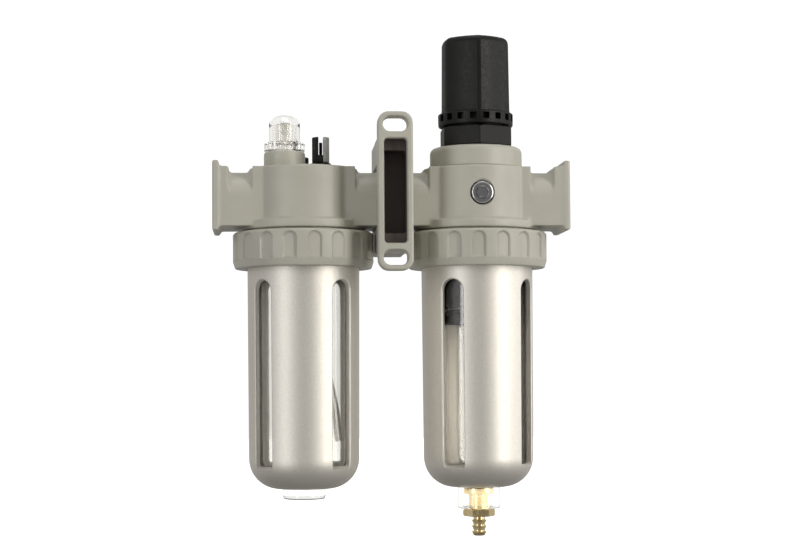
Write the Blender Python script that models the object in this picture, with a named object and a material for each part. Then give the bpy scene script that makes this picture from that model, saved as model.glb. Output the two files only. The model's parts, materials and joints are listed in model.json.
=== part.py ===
"""Modular filter regulator lubricator of the common G1/4 size, in metres, +Z up.

The filter regulator stands at +X, the lubricator at -X. The wall bracket between them faces -Y and the
user stands at +Y. The origin is the centre of the bracket's wall face, level with the port axis.
"""

import math

import bmesh
import bpy
from mathutils import Matrix, Vector

# Driving dimensions, in metres.
RING_SPACE = 0.0124  # between the two bowl rings
WALL_OFFSET = 0.0295  # wall face to the plane of the bowl axes
PORT_REACH = 0.0330  # bowl axis to its outer port face
JOINT_GAP = 0.0010  # between the two facing port flanges
FIT = 0.0003  # seated pieces
THREAD_FIT = 0.0003  # screwed pieces, radial
SLIDE_FIT = 0.0006  # pieces that slide or lie loosely in one another

# Die-cast bodies
BARREL_RADIUS = 0.0200
BODY_TOP = 0.0106
ARM_BOTTOM = -0.0112
ARM_HALF_DEPTH = 0.0135
BLOCK_HALF_LENGTH = 0.0185
BLOCK_EDGE = 0.0006
BLOCK_STEP = 0.0001  # the arms' flat top lies this much below the barrel's
LIP_SLANT = 0.0007
NECK_RISE = 0.0094
LIP_HALF_HEIGHT = 0.01265
LIP_PROUD = 0.0005
OUTER_LIP, OUTER_STEP = 0.0028, 0.0032
INNER_LIP, INNER_STEP = 0.0026, 0.0018
SKIRT_RADIUS = 0.0225
SKIRT_TOP = -0.0089
SKIRT_BOTTOM = -0.0121
SPIGOT_RADIUS = 0.0220
SPIGOT_WALL = 0.0034
SPIGOT_ROOF = -0.0136  # ceiling of the air space above a bowl
PORT_BORE = 0.0059  # tapping size of G1/4
PORT_DEPTH = 0.0235
GAUGE_BORE = 0.0043  # tapping size of G1/8
GAUGE_BORE_DEPTH = 0.0080
GAUGE_PORT_HEIGHT = 0.0004
MOULD_FIT = 0.0001  # seated pieces that touch lightly
PLATE_CLEARANCE = 0.0007  # below the diaphragm plate at its lowest
OUTLET_RISE = 0.7  # share of the bores' difference by which the outlet drilling sits high

# Coupling rings, guards and bowls
RING_RADIUS = 0.0258
RING_GAP = 0.0008
RING_HEIGHT = 0.0131
RING_SILL = 0.0012
RING_EDGE = 0.0007
RING_FOOT = 0.0026  # height of the tapered foot
RING_FOOT_TAPER = 0.0009
RING_GRIPS = 18
GRIP_WIDTH = 0.0049
GRIP_DEPTH = 0.0008
FILTER_RING_TURN = math.radians(-4.9)
OIL_RING_TURN = math.radians(7.9)
GRIP_TOP = 0.0011  # below the ring's top
GRIP_HEIGHT = 0.0091
GUARD_RADIUS = 0.0205
GUARD_TAPER = 0.0004
GUARD_WALL = 0.0020
GUARD_FLANGE = 0.0013
GUARD_LENGTH = 0.0801  # below the ring
GUARD_CORNER = 0.0110
GUARD_SLOTS = 4
SLOT_WIDTH = 0.0083
SLOT_START = 0.0047  # below the ring
SLOT_END = 0.0070  # above the guard's lowest face
SLOT_SLOPE = 0.0018  # how far the sill rises from its outer to its inner edge
OIL_SLOT_TURN = math.radians(-3.5)
FILTER_SLOT_TURN = math.radians(11.8)
BOWL_WALL = 0.0023
BOWL_FLANGE = 0.0022
BOWL_RIM_GAP = 0.0010  # below the body's ceiling
SEAL_WIRE = 0.00075
SEAL_DROP = 0.0026  # below the bowl's rim
BOSS_RADIUS = 0.00775
OIL_BOSS_LENGTH = 0.0038  # below the guard
FILTER_BOSS_LENGTH = 0.0079
BOSS_WALL = 0.0015
BOSS_ROOF = 0.0048  # wall between the bowl's floor and the drain cup
BOSS_EDGE = 0.0010

# Pressure setting
DIAPHRAGM_RADIUS = 0.0147
DIAPHRAGM_WALL = 0.0014
PLATE_RADIUS = 0.0070
PLATE_SEAT_RADIUS = 0.0096
PLATE_SEAT_WALL = 0.0015
PLATE_SEAT_LIFT = 0.0017
PLATE_DROP = 0.0004  # of the plate's lower face below the diaphragm's seat
BEAD_WIDTH, BEAD_HEIGHT, BEAD_SLOPE = 0.0016, 0.0006, 0.0004
VALVE_TRAVEL = 0.0012
BONNET_RADIUS = 0.0170
BONNET_HEIGHT = 0.0079
BONNET_WALL = 0.0042
BONNET_SHOULDER = 0.0020
BONNET_UNDERCUT = 0.0010
CAGE_RADIUS = 0.0113
CAGE_WALL = 0.0013
CAGE_HEIGHT = 0.0310  # above the bonnet
CAGE_ROOF = 0.0026
CAGE_LENGTH_BELOW = 0.0027
HEX_CORNER_RADIUS = 0.01435
HEX_HEIGHT = 0.0073
SCREW_RADIUS = 0.0040
SCREW_COLLAR = 0.0060
SCREW_COLLAR_WALL = 0.0016
SCREW_PROUD = 0.0007  # the screw's end below the nut at the nut's lowest
SCREW_HEX_FLATS = 0.0068
SCREW_HEX_HEIGHT = 0.0075  # above the cage
NUT_HEIGHT = 0.0044
NUT_TRAVEL = 0.0060
KEY_WIDTH = 0.0020
KEY_DEPTH = 0.0007
KEY_SHORT = 0.0002  # kept free above and below each key
SPRING_WIRE = 0.0011
SPRING_RADIUS = 0.0076
SPRING_TURNS = 6.5
KNOB_HEIGHT = 0.0097  # above the cage
KNOB_REST_GAP = 0.0004  # above the cage's hexagon
KNOB_CEILING_GAP = 0.0007
KNOB_DRAFT = 80.0  # degrees of the top corner's arc
KNOB_TOP_RADIUS = 0.0131
KNOB_RIM_RADIUS = 0.0138
KNOB_CORNER = 0.0030
KNOB_WINDOWS = 18
KNOB_WINDOW_SILL = 0.0016  # above the knob's lower edge
KNOB_WINDOW_HEIGHT = 0.0024
KNOB_WINDOW_WIDTH = 0.0024
KNOB_RIM_STEP = 0.0003

# Pressure valve and filter
WEB_TOP = -0.0010
WEB_WALL = 0.0012
CHAMBER_RADIUS = 0.0065
HUB_RADIUS = 0.0090
HUB_BOTTOM = -0.0185
POCKET_RADIUS = 0.0070
SEAT_WALL = 0.0037
SEAT_BORE = 0.0032
SEAT_RADIUS = 0.0054
STEM_RADIUS = 0.0012
POPPET_RADIUS = 0.0046
POPPET_WALL = 0.0030
GUIDE_WALL = 0.0013
GUIDE_FLOOR = 0.0018
GUIDE_FLANGE = 0.0015
GUIDE_OVERLAP = 0.0010  # of the sleeve past the poppet's lower face
GUIDE_HOLES, GUIDE_HOLE_RADIUS, GUIDE_HOLE_CIRCLE = 4, 0.0012, 0.0038
STUD_RADIUS = 0.0020
STUD_LENGTH = 0.0070  # below the deflector
VALVE_WIRE = 0.00035
VALVE_SPRING_RADIUS = 0.0026
VALVE_SPRING_TURNS = 5.0
DEFLECTOR_RADIUS = 0.0142
DEFLECTOR_WALL = 0.0012
DEFLECTOR_PLATE = 0.0015
DEFLECTOR_LENGTH = 0.0223  # below the hub
DEFLECTOR_VANES = 10
VANE_HALF_WALL, VANE_LEAN = 0.0004, math.radians(20.0)
ELEMENT_RADIUS = 0.0105
ELEMENT_BORE = 0.0062
ELEMENT_PROUD = 0.0006  # below the deflector's skirt
BAFFLE_RADIUS = 0.0144
BAFFLE_WALL = 0.0014
BAFFLE_SKIRT = 0.0034

# Drain
DRAIN_STEM = 0.0036
DRAIN_BORE = 0.0024
DRAIN_FLANGE_RADIUS = 0.0055
DRAIN_FLANGE = 0.0023
DRAIN_NUT_FLATS = 0.0100
DRAIN_NUT_HEIGHT = 0.0024
DRAIN_STEM_PROUD = 0.0008  # above its nut
COCK_GAP = 0.0005  # between the body and the cock's hexagon
COCK_HEX_CORNERS = 0.0059
COCK_HEX_HEIGHT = 0.0026
COCK_SPINDLE = 0.0020
COCK_WEB = 0.0010  # of spindle left inside the hexagon
BARB_REACH = 0.0100  # below the filter bowl's cup
BARB_RIDGES = 3
BARB_RADIUS = 0.00275
BARB_ROOT = 0.0021
BARB_BORE = 0.0012
BARB_RISE, BARB_FALL = 0.72, 0.80  # shares of a ridge's pitch where its slope ends and its step is down

# Lubricator top and inside
DOME_X = -0.0068
COLLAR_RADIUS = 0.0076
COLLAR_HEIGHT = 0.0064
COLLAR_DEPTH = 0.0080
COLLAR_BORE = 0.0059
DOME_RADIUS = 0.0057
DOME_WALL = 0.0012
DOME_HEIGHT = 0.0137  # above the collar
DOME_FLANGE = 0.0030
DOME_THREAD = 0.0034
DOME_EDGE = 0.0016
NOZZLE_RADIUS = 0.0030
NOZZLE_WALL = 0.0006
NOZZLE_DROP = 0.0025  # below the dome's top
NOZZLE_HANG = 0.0049
NOZZLE_TIP_RADIUS = 0.0009
NOZZLE_BASE = 0.0030
FEED_X = 0.0065
FEED_HEAD_RADIUS = 0.0032
FEED_HEIGHT = 0.0119  # above the body
FEED_NEEDLE = 0.0018
FEED_NEEDLE_LENGTH = 0.0037  # below the body's top
FEED_POINT = 0.0008
SMALL_BORE_DEPTH = 0.0040  # of the feed and filler holes
FEED_SLOT_WIDTH, FEED_SLOT_DEPTH = 0.0018, 0.0068
FEED_PIN_RADIUS, FEED_PIN_DROP = 0.0006, 0.0018
SCALE_RADIUS = 0.0038
SCALE_HEIGHT = 0.0020
SCALE_NOTCHES = 8
NOTCH_HALF_WIDTH, NOTCH_CUT, NOTCH_FLOOR = 0.0006, 0.0010, 0.0007
FILLER_PLACE = (0.0004, 0.0090)
FILLER_HEAD_RADIUS = 0.0019
FILLER_HEIGHT = 0.0056
FILLER_STEM = 0.0010
FILLER_WIRE = 0.00035  # of its seal
OIL_HUB_RADIUS = 0.0062
OIL_HUB_BOTTOM = -0.0200
HOLDER_RADIUS = 0.0033
HOLDER_REACH = 0.0040  # below the hub
HOLDER_SOCKET = 0.0100
TUBE_RADIUS = 0.0015
TUBE_BORE = 0.0009
TUBE_LEAN = (0.0128, -0.0010)  # where the siphon's foot stands, from the axis
TUBE_FOOT_GAP = 0.0122  # above the bowl's floor
BALL_RADIUS = 0.0014
BALL_SEAT = 0.0050  # above the holder's lower face
SEAT_CONE = 0.0006
SEAT_WEB = 0.0012
TUBE_PLUNGE = 0.0020  # of straight tube below the holder's web
TUBE_SOFTNESS = 0.55  # share of the tube's lean that eases in and out
DAMPER_WALL = 0.0016
DAMPER_BORE = 0.0026

# Bracket
PLATE_WIDTH = 0.0126
PLATE_HEIGHT = 0.0565
PLATE_WALL = 0.0060
PLATE_CORNER = 0.0040
JAW_GAP = 0.0005  # each side, between the clamp and a bowl ring
WEB_HALF_HEIGHT = 0.0206
MOUNT_SLOT_PITCH = 0.0474
MOUNT_SLOT_LENGTH, MOUNT_SLOT_HEIGHT = 0.0088, 0.0053
POCKET_WIDTH, POCKET_HEIGHT = 0.0080, 0.0370
POCKET_DEPTH = 0.0125
LEDGE_DEPTH, LEDGE_HEIGHT = 0.0050, 0.0037
CLAMP_WALL = 0.0035
BOLT_RADIUS = 0.0020
BOLT_HEAD_RADIUS, BOLT_HEAD_HEIGHT = 0.0034, 0.0040
BOLT_HEIGHT = 0.0168
BOLT_KEY_FLATS = 0.0030
BOLT_KEY_DEPTH = 0.0022
BOLT_HEAD_PROUD = 0.0005
GASKET_WIDTH = 0.0026
BOLT_TIP = 0.0120

# Plug and pressure gauge
PLUG_HEAD_RADIUS = 0.0040
PLUG_PROUD, PLUG_EDGE = 0.0004, 0.0006
PLUG_LENGTH = 0.0070
PLUG_KEY_FLATS, PLUG_KEY_DEPTH = 0.0040, 0.0035
STEM_HEX_FLATS = 0.0120
STEM_HEX_LENGTH = 0.0056
CASE_RADIUS = 0.0188
CASE_WALL = 0.0010
CASE_DEPTH = 0.0147
BEZEL_RADIUS = 0.0200
BEZEL_DEPTH = 0.0042
BEZEL_LIP = 0.0014
BEZEL_EDGE = 0.0006
DIAL_WALL = 0.0008
DIAL_SETBACK = 0.0040
POINTER_LENGTH = 0.0130
POINTER_WIDTH = 0.0016
POINTER_TAIL = 0.0042
POINTER_WALL = 0.0006
POINTER_REST = math.radians(-45.0)
PIVOT_RADIUS = 0.0007
PIVOT_REACH = 0.0012  # past each face of the dial
WINDOW_WALL = 0.0015
WINDOW_INSET = 0.0002
BOURDON_RADIUS = 0.0115
BOURDON_WIRE = 0.0011
BOURDON_SETBACK = 0.0040  # from the case's back wall
BOURDON_START, BOURDON_SWEEP = math.radians(-100.0), math.radians(250.0)
STEM_END = 0.0016  # of the stem past the tube

# Heights and radii that follow from the driving dimensions
UNIT_PITCH = 2 * RING_RADIUS + RING_SPACE  # between the two bowl axes
JAW_WIDTH = RING_SPACE - 2 * JAW_GAP
RING_TOP = SKIRT_BOTTOM - RING_GAP
RING_BOTTOM = RING_TOP - RING_HEIGHT
GUARD_BOTTOM = RING_BOTTOM - GUARD_LENGTH
GUARD_FLANGE_BOTTOM = RING_BOTTOM + RING_SILL + FIT
GUARD_TOP = GUARD_FLANGE_BOTTOM + GUARD_FLANGE
SLOT_TOP = RING_BOTTOM - SLOT_START
SLOT_BOTTOM = GUARD_BOTTOM + SLOT_END
CORNER_HEIGHT = GUARD_BOTTOM + GUARD_CORNER
SPIGOT_BORE = SPIGOT_RADIUS - SPIGOT_WALL
BOWL_FLANGE_BOTTOM = GUARD_TOP + FIT
BOWL_FLANGE_TOP = BOWL_FLANGE_BOTTOM + BOWL_FLANGE
SPIGOT_BOTTOM = BOWL_FLANGE_TOP + FIT
BOWL_RIM_TOP = SPIGOT_ROOF - BOWL_RIM_GAP
BOWL_RIM_RADIUS = SPIGOT_BORE - SLIDE_FIT
BOWL_RADIUS = GUARD_RADIUS - GUARD_WALL - SLIDE_FIT
BOWL_BORE = BOWL_RADIUS - BOWL_WALL
BOWL_BOTTOM = GUARD_BOTTOM + GUARD_WALL + SLIDE_FIT
BOWL_FLOOR = BOWL_BOTTOM + BOWL_WALL
BOSS_FLOOR = BOWL_FLOOR - BOSS_ROOF
SEAL_HEIGHT = BOWL_RIM_TOP - SEAL_DROP
OIL_BOSS_BOTTOM = GUARD_BOTTOM - OIL_BOSS_LENGTH
FILTER_BOSS_BOTTOM = GUARD_BOTTOM - FILTER_BOSS_LENGTH
BARB_BOTTOM = FILTER_BOSS_BOTTOM - BARB_REACH
DIAPHRAGM_SEAT = BODY_TOP - DIAPHRAGM_WALL - 2 * FIT
BONNET_TOP = BODY_TOP + BONNET_HEIGHT
CAGE_TOP = BONNET_TOP + CAGE_HEIGHT
HEX_BOTTOM = BONNET_TOP + FIT
HEX_TOP = HEX_BOTTOM + HEX_HEIGHT
SCREW_TOP = CAGE_TOP + SCREW_HEX_HEIGHT
KNOB_BOTTOM = HEX_TOP + KNOB_REST_GAP
KNOB_TOP = CAGE_TOP + KNOB_HEIGHT
DEFLECTOR_BOTTOM = HUB_BOTTOM - DEFLECTOR_LENGTH
COLLAR_TOP = BODY_TOP + COLLAR_HEIGHT
DOME_TOP = COLLAR_TOP + DOME_HEIGHT
NOZZLE_TOP = DOME_TOP - NOZZLE_DROP
NOZZLE_TIP = NOZZLE_TOP - NOZZLE_HANG
FEED_HEAD_TOP = BODY_TOP + FEED_HEIGHT
FEED_PIN_TOP = FEED_HEAD_TOP - FEED_PIN_DROP
FILLER_TOP = BODY_TOP + FILLER_HEIGHT
HOLDER_BOTTOM = OIL_HUB_BOTTOM - HOLDER_REACH
TUBE_END = (*TUBE_LEAN, BOWL_FLOOR + TUBE_FOOT_GAP)

ROUND = 32  # sides of a large turned piece
MIDDLE_ROUND = 20
SMALL_ROUND = 12
WIRE_SIDES = 5
CORNER_TURN = math.radians(4.0)  # keeps the gauge bores' corners off the barrel's edges
ARC_POINTS = 4

# Finishes: base colour, roughness, metallic, transmission
FINISHES = {
    "painted_die_cast": ((0.42, 0.40, 0.35), 0.45, 0.0, 0.0),
    "satin_steel": ((0.52, 0.49, 0.43), 0.32, 1.0, 0.0),
    "black_plastic": ((0.015, 0.015, 0.016), 0.45, 0.0, 0.0),
    "clear_polycarbonate": ((0.92, 0.93, 0.92), 0.08, 0.0, 1.0),
    "brass": ((0.60, 0.42, 0.17), 0.30, 1.0, 0.0),
    "bright_chrome": ((0.75, 0.75, 0.76), 0.10, 1.0, 0.0),
    "spring_steel": ((0.35, 0.35, 0.36), 0.35, 1.0, 0.0),
    "black_rubber": ((0.02, 0.02, 0.02), 0.75, 0.0, 0.0),
    "sintered_element": ((0.78, 0.75, 0.66), 0.85, 0.0, 0.0),
    "aluminium": ((0.70, 0.70, 0.71), 0.35, 1.0, 0.0),
    "white_dial": ((0.85, 0.85, 0.83), 0.55, 0.0, 0.0),
}


def clear_scene():
    for obj in list(bpy.data.objects):
        bpy.data.objects.remove(obj, do_unlink=True)


def finish_named(name):
    """The Principled material of one finish, made once."""
    material = bpy.data.materials.get(name)
    if material:
        return material
    colour, roughness, metallic, transmission = FINISHES[name]
    material = bpy.data.materials.new(name)
    material.use_nodes = True
    shader = material.node_tree.nodes["Principled BSDF"]
    shader.inputs["Base Color"].default_value = (*colour, 1.0)
    shader.inputs["Roughness"].default_value = roughness
    shader.inputs["Metallic"].default_value = metallic
    shader.inputs["Transmission Weight"].default_value = transmission
    return material


def unit_empty(name, x):
    """An empty on a bowl axis, level with the ports: each unit's pieces are placed from it."""
    empty = bpy.data.objects.new(name, None)
    empty.location = (x, WALL_OFFSET, 0.0)
    bpy.context.scene.collection.objects.link(empty)
    return empty


def solid(name, shape, finish, parent=None, place=(0.0, 0.0, 0.0)):
    """One named object made from a bmesh, with its finish, under the empty it is placed from."""
    mesh = bpy.data.meshes.new(name)
    shape.to_mesh(mesh)
    shape.free()
    mesh.shade_smooth()
    mesh.set_sharp_from_angle(angle=math.radians(35.0))
    obj = bpy.data.objects.new(name, mesh)
    obj.location = place
    obj.parent = parent
    bpy.context.scene.collection.objects.link(obj)
    if finish:
        mesh.materials.append(finish_named(finish))
    return obj


def combine(target, shape, operation, parent=None, place=(0.0, 0.0, 0.0)):
    """Cuts a shape from the target, or fuses it on, with a Boolean whose second shape is not drawn."""
    tool = solid(f"{target.name}_{operation.lower()}_{len(target.modifiers)}", shape, None, parent, place)
    tool.hide_render = True
    tool.display_type = "WIRE"
    modifier = target.modifiers.new(operation.title(), "BOOLEAN")
    modifier.operation = operation
    modifier.solver = "EXACT"
    modifier.object = tool


def cut(target, shape, place=(0.0, 0.0, 0.0)):
    combine(target, shape, "DIFFERENCE", target.parent, place)


def fuse(target, shape, place=(0.0, 0.0, 0.0)):
    combine(target, shape, "UNION", target.parent, place)


def turned(outline, steps=ROUND, joined=True):
    """Spins an outline of (radius, height) points about Z. A joined outline closes back to its start."""
    shape = bmesh.new()
    points = [shape.verts.new((radius, 0.0, height)) for radius, height in outline]
    pairs = list(zip(points, points[1:]))
    if joined:
        pairs.append((points[-1], points[0]))
    edges = [shape.edges.new(pair) for pair in pairs if max(pair[0].co.x, pair[1].co.x) > 0.0]
    bmesh.ops.spin(
        shape,
        geom=points + edges,
        cent=(0.0, 0.0, 0.0),
        axis=(0.0, 0.0, 1.0),
        angle=math.tau,
        steps=steps,
        use_merge=True,
    )
    bmesh.ops.remove_doubles(shape, verts=shape.verts, dist=1e-7)
    bmesh.ops.recalc_face_normals(shape, faces=shape.faces)
    return shape


def rod(radius, low, high, steps=SMALL_ROUND):
    return turned([(0.0, low), (radius, low), (radius, high), (0.0, high)], steps, joined=False)


def tube(bore, radius, low, high, steps=SMALL_ROUND):
    return turned([(bore, low), (radius, low), (radius, high), (bore, high)], steps)


def prism(outline, low, high):
    """An outline of (x, y) points raised from one height to another."""
    shape = bmesh.new()
    face = shape.faces.new([shape.verts.new((x, y, low)) for x, y in outline])
    raised = bmesh.ops.extrude_face_region(shape, geom=[face])["geom"]
    tops = [part for part in raised if isinstance(part, bmesh.types.BMVert)]
    bmesh.ops.translate(shape, verts=tops, vec=(0.0, 0.0, high - low))
    bmesh.ops.recalc_face_normals(shape, faces=shape.faces)
    return shape


def polygon(sides, corner_radius, turn=0.0):
    angles = [math.tau * i / sides + turn for i in range(sides)]
    return [(corner_radius * math.cos(a), corner_radius * math.sin(a)) for a in angles]


def hexagon(flats, turn=0.0):
    return polygon(6, flats / math.sqrt(3.0), turn)


def arc(centre, radius, start, end, points=ARC_POINTS):
    """Points along an arc, in degrees, both ends included."""
    angles = [math.radians(start + (end - start) * i / (points - 1)) for i in range(points)]
    return [(centre[0] + radius * math.cos(a), centre[1] + radius * math.sin(a)) for a in angles]


def rounded_rectangle(width, height, corner):
    x, y = width / 2 - corner, height / 2 - corner
    centres = [(x, y), (-x, y), (-x, -y), (x, -y)]
    return [p for i, c in enumerate(centres) for p in arc(c, corner, 90.0 * i, 90.0 * (i + 1))]


def block(x_range, y_range, z_range, edge=0.0):
    """A box between its limits, its edges rounded off when an edge width is given."""
    shape = bmesh.new()
    sizes = [high - low for low, high in (x_range, y_range, z_range)]
    centre = [(low + high) / 2 for low, high in (x_range, y_range, z_range)]
    matrix = Matrix.Translation(centre) @ Matrix.Diagonal((*sizes, 1.0))
    bmesh.ops.create_cube(shape, size=1.0, matrix=matrix)
    if edge:
        bmesh.ops.bevel(
            shape, geom=shape.edges[:], offset=edge, segments=1, profile=0.5, affect="EDGES", material=-1
        )
    return shape


def lying(shape, direction, turn=0.0):
    """Turns a shape about its own +Z, then brings that +Z to +X, -X, +Y or -Y."""
    turns = {"+X": (90.0, "Y"), "-X": (-90.0, "Y"), "+Y": (-90.0, "X"), "-Y": (90.0, "X")}
    angle, axis = turns[direction]
    shape.transform(Matrix.Rotation(turn, 4, "Z"))
    shape.transform(Matrix.Rotation(math.radians(angle), 4, axis))
    return shape


def joined(shapes):
    """Several shapes that don't meet, in one bmesh, as one cutter."""
    whole = bmesh.new()
    for shape in shapes:
        mesh = bpy.data.meshes.new("joined")
        shape.to_mesh(mesh)
        shape.free()
        whole.from_mesh(mesh)
        bpy.data.meshes.remove(mesh)
    return whole


def around(make, count, turn=0.0):
    """Copies of one shape, evenly spaced about Z. The first stands at the turn, measured from -Y."""
    shapes = []
    for i in range(count):
        shape = make()
        shape.transform(Matrix.Rotation(math.tau * i / count + turn, 4, "Z"))
        shapes.append(shape)
    return joined(shapes)


def swept(name, points, radius, finish, parent, sides=WIRE_SIDES):
    """A round wire or tube through points, as one closed mesh."""
    shape = bmesh.new()
    path = [Vector(point) for point in points]
    rings = []
    side = None
    for i, point in enumerate(path):
        along = (path[min(i + 1, len(path) - 1)] - path[max(i - 1, 0)]).normalized()
        if side is None:
            side = along.orthogonal().normalized()
        side = (side - along * side.dot(along)).normalized()
        across = along.cross(side)
        ring = []
        for k in range(sides):
            angle = math.tau * k / sides
            ring.append(shape.verts.new(point + radius * (math.cos(angle) * side + math.sin(angle) * across)))
        rings.append(ring)
    for first, second in zip(rings, rings[1:]):
        for k in range(sides):
            shape.faces.new((first[k], first[(k + 1) % sides], second[(k + 1) % sides], second[k]))
    shape.faces.new(rings[0][::-1])
    shape.faces.new(rings[-1])
    bmesh.ops.recalc_face_normals(shape, faces=shape.faces)
    return solid(name, shape, finish, parent)


def coil(name, radius, wire, turns, low, high, finish, parent, per_turn=8):
    """A compression spring whose first and last turns lie flat."""
    rise = high - low - 2 * wire
    count = int(turns * per_turn)
    points = []
    for i in range(count + 1):
        turn = i / per_turn
        share = min(max((turn - 1.0) / (turns - 2.0), 0.0), 1.0)
        closed = 2.2 * wire  # the flat end turns still climb by about one wire
        height = low + wire + closed * min(turn, 1.0) + (rise - 2 * closed) * share
        height += closed * max(turn - turns + 1.0, 0.0)
        angle = math.tau * turn
        points.append((radius * math.cos(angle), radius * math.sin(angle), height))
    return swept(name, points, wire, finish, parent)


def arm_section(half_depth, top, bottom, rounded=False):
    """Points (y, z) round one section of a port arm, from +Y over the top to -Y and back underneath."""
    side, across = 3, 6
    points = []
    for i in range(2 * side + across + 1):
        if rounded:
            angle = math.pi * i / (2 * side + across)
            points.append((half_depth * math.cos(angle), top * math.sin(angle)))
        elif i <= side:
            points.append((half_depth, top * i / side))
        elif i <= side + across:
            points.append((half_depth - 2 * half_depth * (i - side) / across, top))
        else:
            points.append((-half_depth, top * (2 * side + across - i) / side))
    return points + [(-half_depth, bottom), (half_depth, bottom)]


def arm_stations(reach, lip, step):
    """(x, section) pairs of one arm, from the block out to the port face."""
    square = arm_section(ARM_HALF_DEPTH, BODY_TOP - BLOCK_STEP, ARM_BOTTOM)
    neck = arm_section(ARM_HALF_DEPTH, NECK_RISE, ARM_BOTTOM, rounded=True)
    lip_section = arm_section(ARM_HALF_DEPTH + LIP_PROUD, LIP_HALF_HEIGHT, -LIP_HALF_HEIGHT)
    inset = ARM_HALF_DEPTH + LIP_PROUD - BLOCK_EDGE
    face = arm_section(inset, LIP_HALF_HEIGHT - BLOCK_EDGE, BLOCK_EDGE - LIP_HALF_HEIGHT)
    step_start = reach - lip - step
    return [
        (BLOCK_HALF_LENGTH, square),
        (BLOCK_HALF_LENGTH, neck),
        (step_start, neck),
        (step_start, square),
        (reach - lip, square),
        (reach - lip + LIP_SLANT, lip_section),
        (reach - BLOCK_EDGE, lip_section),
        (reach, face),
    ]


def arms(outer_side):
    """Both port arms and the block between them, lofted along X as one closed shape."""
    inner_reach = UNIT_PITCH / 2 - JOINT_GAP / 2
    outer = arm_stations(PORT_REACH, OUTER_LIP, OUTER_STEP)
    inner = arm_stations(inner_reach, INNER_LIP, INNER_STEP)
    stations = [(-x, section) for x, section in reversed(inner)] + outer
    shape = bmesh.new()
    corners = {}

    def corner(x, point):
        key = (round(x, 7), round(point[0], 7), round(point[1], 7))
        if key not in corners:
            corners[key] = shape.verts.new((x, *point))
        return corners[key]

    rings = [[corner(x * outer_side, point) for point in section] for x, section in stations]
    for first, second in zip(rings, rings[1:]):
        for i in range(len(first)):
            k = (i + 1) % len(first)
            face = list(dict.fromkeys((first[i], first[k], second[k], second[i])))
            if len(face) > 2:
                shape.faces.new(face)
    shape.faces.new(rings[0])
    shape.faces.new(rings[-1])
    bmesh.ops.recalc_face_normals(shape, faces=shape.faces)
    return shape


def casting(name, unit, outer_side):
    """The body form that both units share, with its two ports and the spigot for the bowl."""
    body = solid(
        name,
        turned([
            (0.0, SPIGOT_ROOF), (SPIGOT_BORE, SPIGOT_ROOF), (SPIGOT_BORE, SPIGOT_BOTTOM),
            (SPIGOT_RADIUS, SPIGOT_BOTTOM), (SPIGOT_RADIUS, SKIRT_BOTTOM), (SKIRT_RADIUS, SKIRT_BOTTOM),
            (SKIRT_RADIUS, SKIRT_TOP), (BARREL_RADIUS, SKIRT_TOP), (BARREL_RADIUS, BODY_TOP),
            (0.0, BODY_TOP),
        ], joined=False),
        "painted_die_cast",
        unit,
    )
    fuse(body, arms(outer_side))
    return body


def port_bores(body, outer_side, depths):
    """The two threaded ports, drilled in along X to a depth given for the outer and the inner one."""
    reaches = (PORT_REACH, UNIT_PITCH / 2 - JOINT_GAP / 2)
    for side, reach, depth in zip((outer_side, -outer_side), reaches, depths):
        direction = "+X" if side > 0 else "-X"
        cut(body, lying(rod(PORT_BORE, reach - depth, reach + JOINT_GAP / 3), direction))


def regulator_body(unit):
    body = casting("regulator_body", unit, 1)
    fuse(body, rod(HUB_RADIUS, HUB_BOTTOM, SPIGOT_ROOF + FIT, ROUND))
    port_bores(body, 1, (PORT_DEPTH, PORT_DEPTH - 3 * FIT))
    # The inlet drops into the air space above the bowl; the outlet leaves from under the diaphragm.
    drop_x = (HUB_RADIUS + SPIGOT_BORE) / 2
    cut(body, rod(SEAT_BORE, SPIGOT_ROOF - FIT * 2, 0.0), (drop_x - FIT * 2, 0.0, 0.0))
    outlet = lying(rod(SEAT_BORE, 0.0, PORT_REACH - PORT_DEPTH + FIT * 4), "-X")
    cut(body, outlet, (0.0, 0.0, (PORT_BORE - SEAT_BORE) * OUTLET_RISE))
    recess = DIAPHRAGM_RADIUS + FIT
    seat = DIAPHRAGM_SEAT
    plate_room = PLATE_RADIUS + FIT + MOULD_FIT
    plate_floor = seat - VALVE_TRAVEL - PLATE_CLEARANCE
    pocket_roof = WEB_TOP - WEB_WALL - SEAT_WALL - FIT
    cut(body, rod(recess, seat, BODY_TOP + FIT, MIDDLE_ROUND))
    cut(body, turned([
        (0.0, HUB_BOTTOM - FIT), (POCKET_RADIUS, HUB_BOTTOM - FIT), (POCKET_RADIUS, pocket_roof),
        (SEAT_RADIUS + FIT, pocket_roof), (SEAT_RADIUS + FIT, WEB_TOP - WEB_WALL),
        (SEAT_BORE, WEB_TOP - WEB_WALL), (SEAT_BORE, WEB_TOP), (CHAMBER_RADIUS, WEB_TOP),
        (CHAMBER_RADIUS, plate_floor), (plate_room, plate_floor), (plate_room, seat + FIT), (0.0, seat + FIT),
    ], SMALL_ROUND, joined=False))
    for direction in ("+Y", "-Y"):
        bore = rod(GAUGE_BORE, BARREL_RADIUS - GAUGE_BORE_DEPTH, BARREL_RADIUS + FIT)
        cut(body, lying(bore, direction, CORNER_TURN), (0.0, 0.0, GAUGE_PORT_HEIGHT))
    return body


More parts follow.
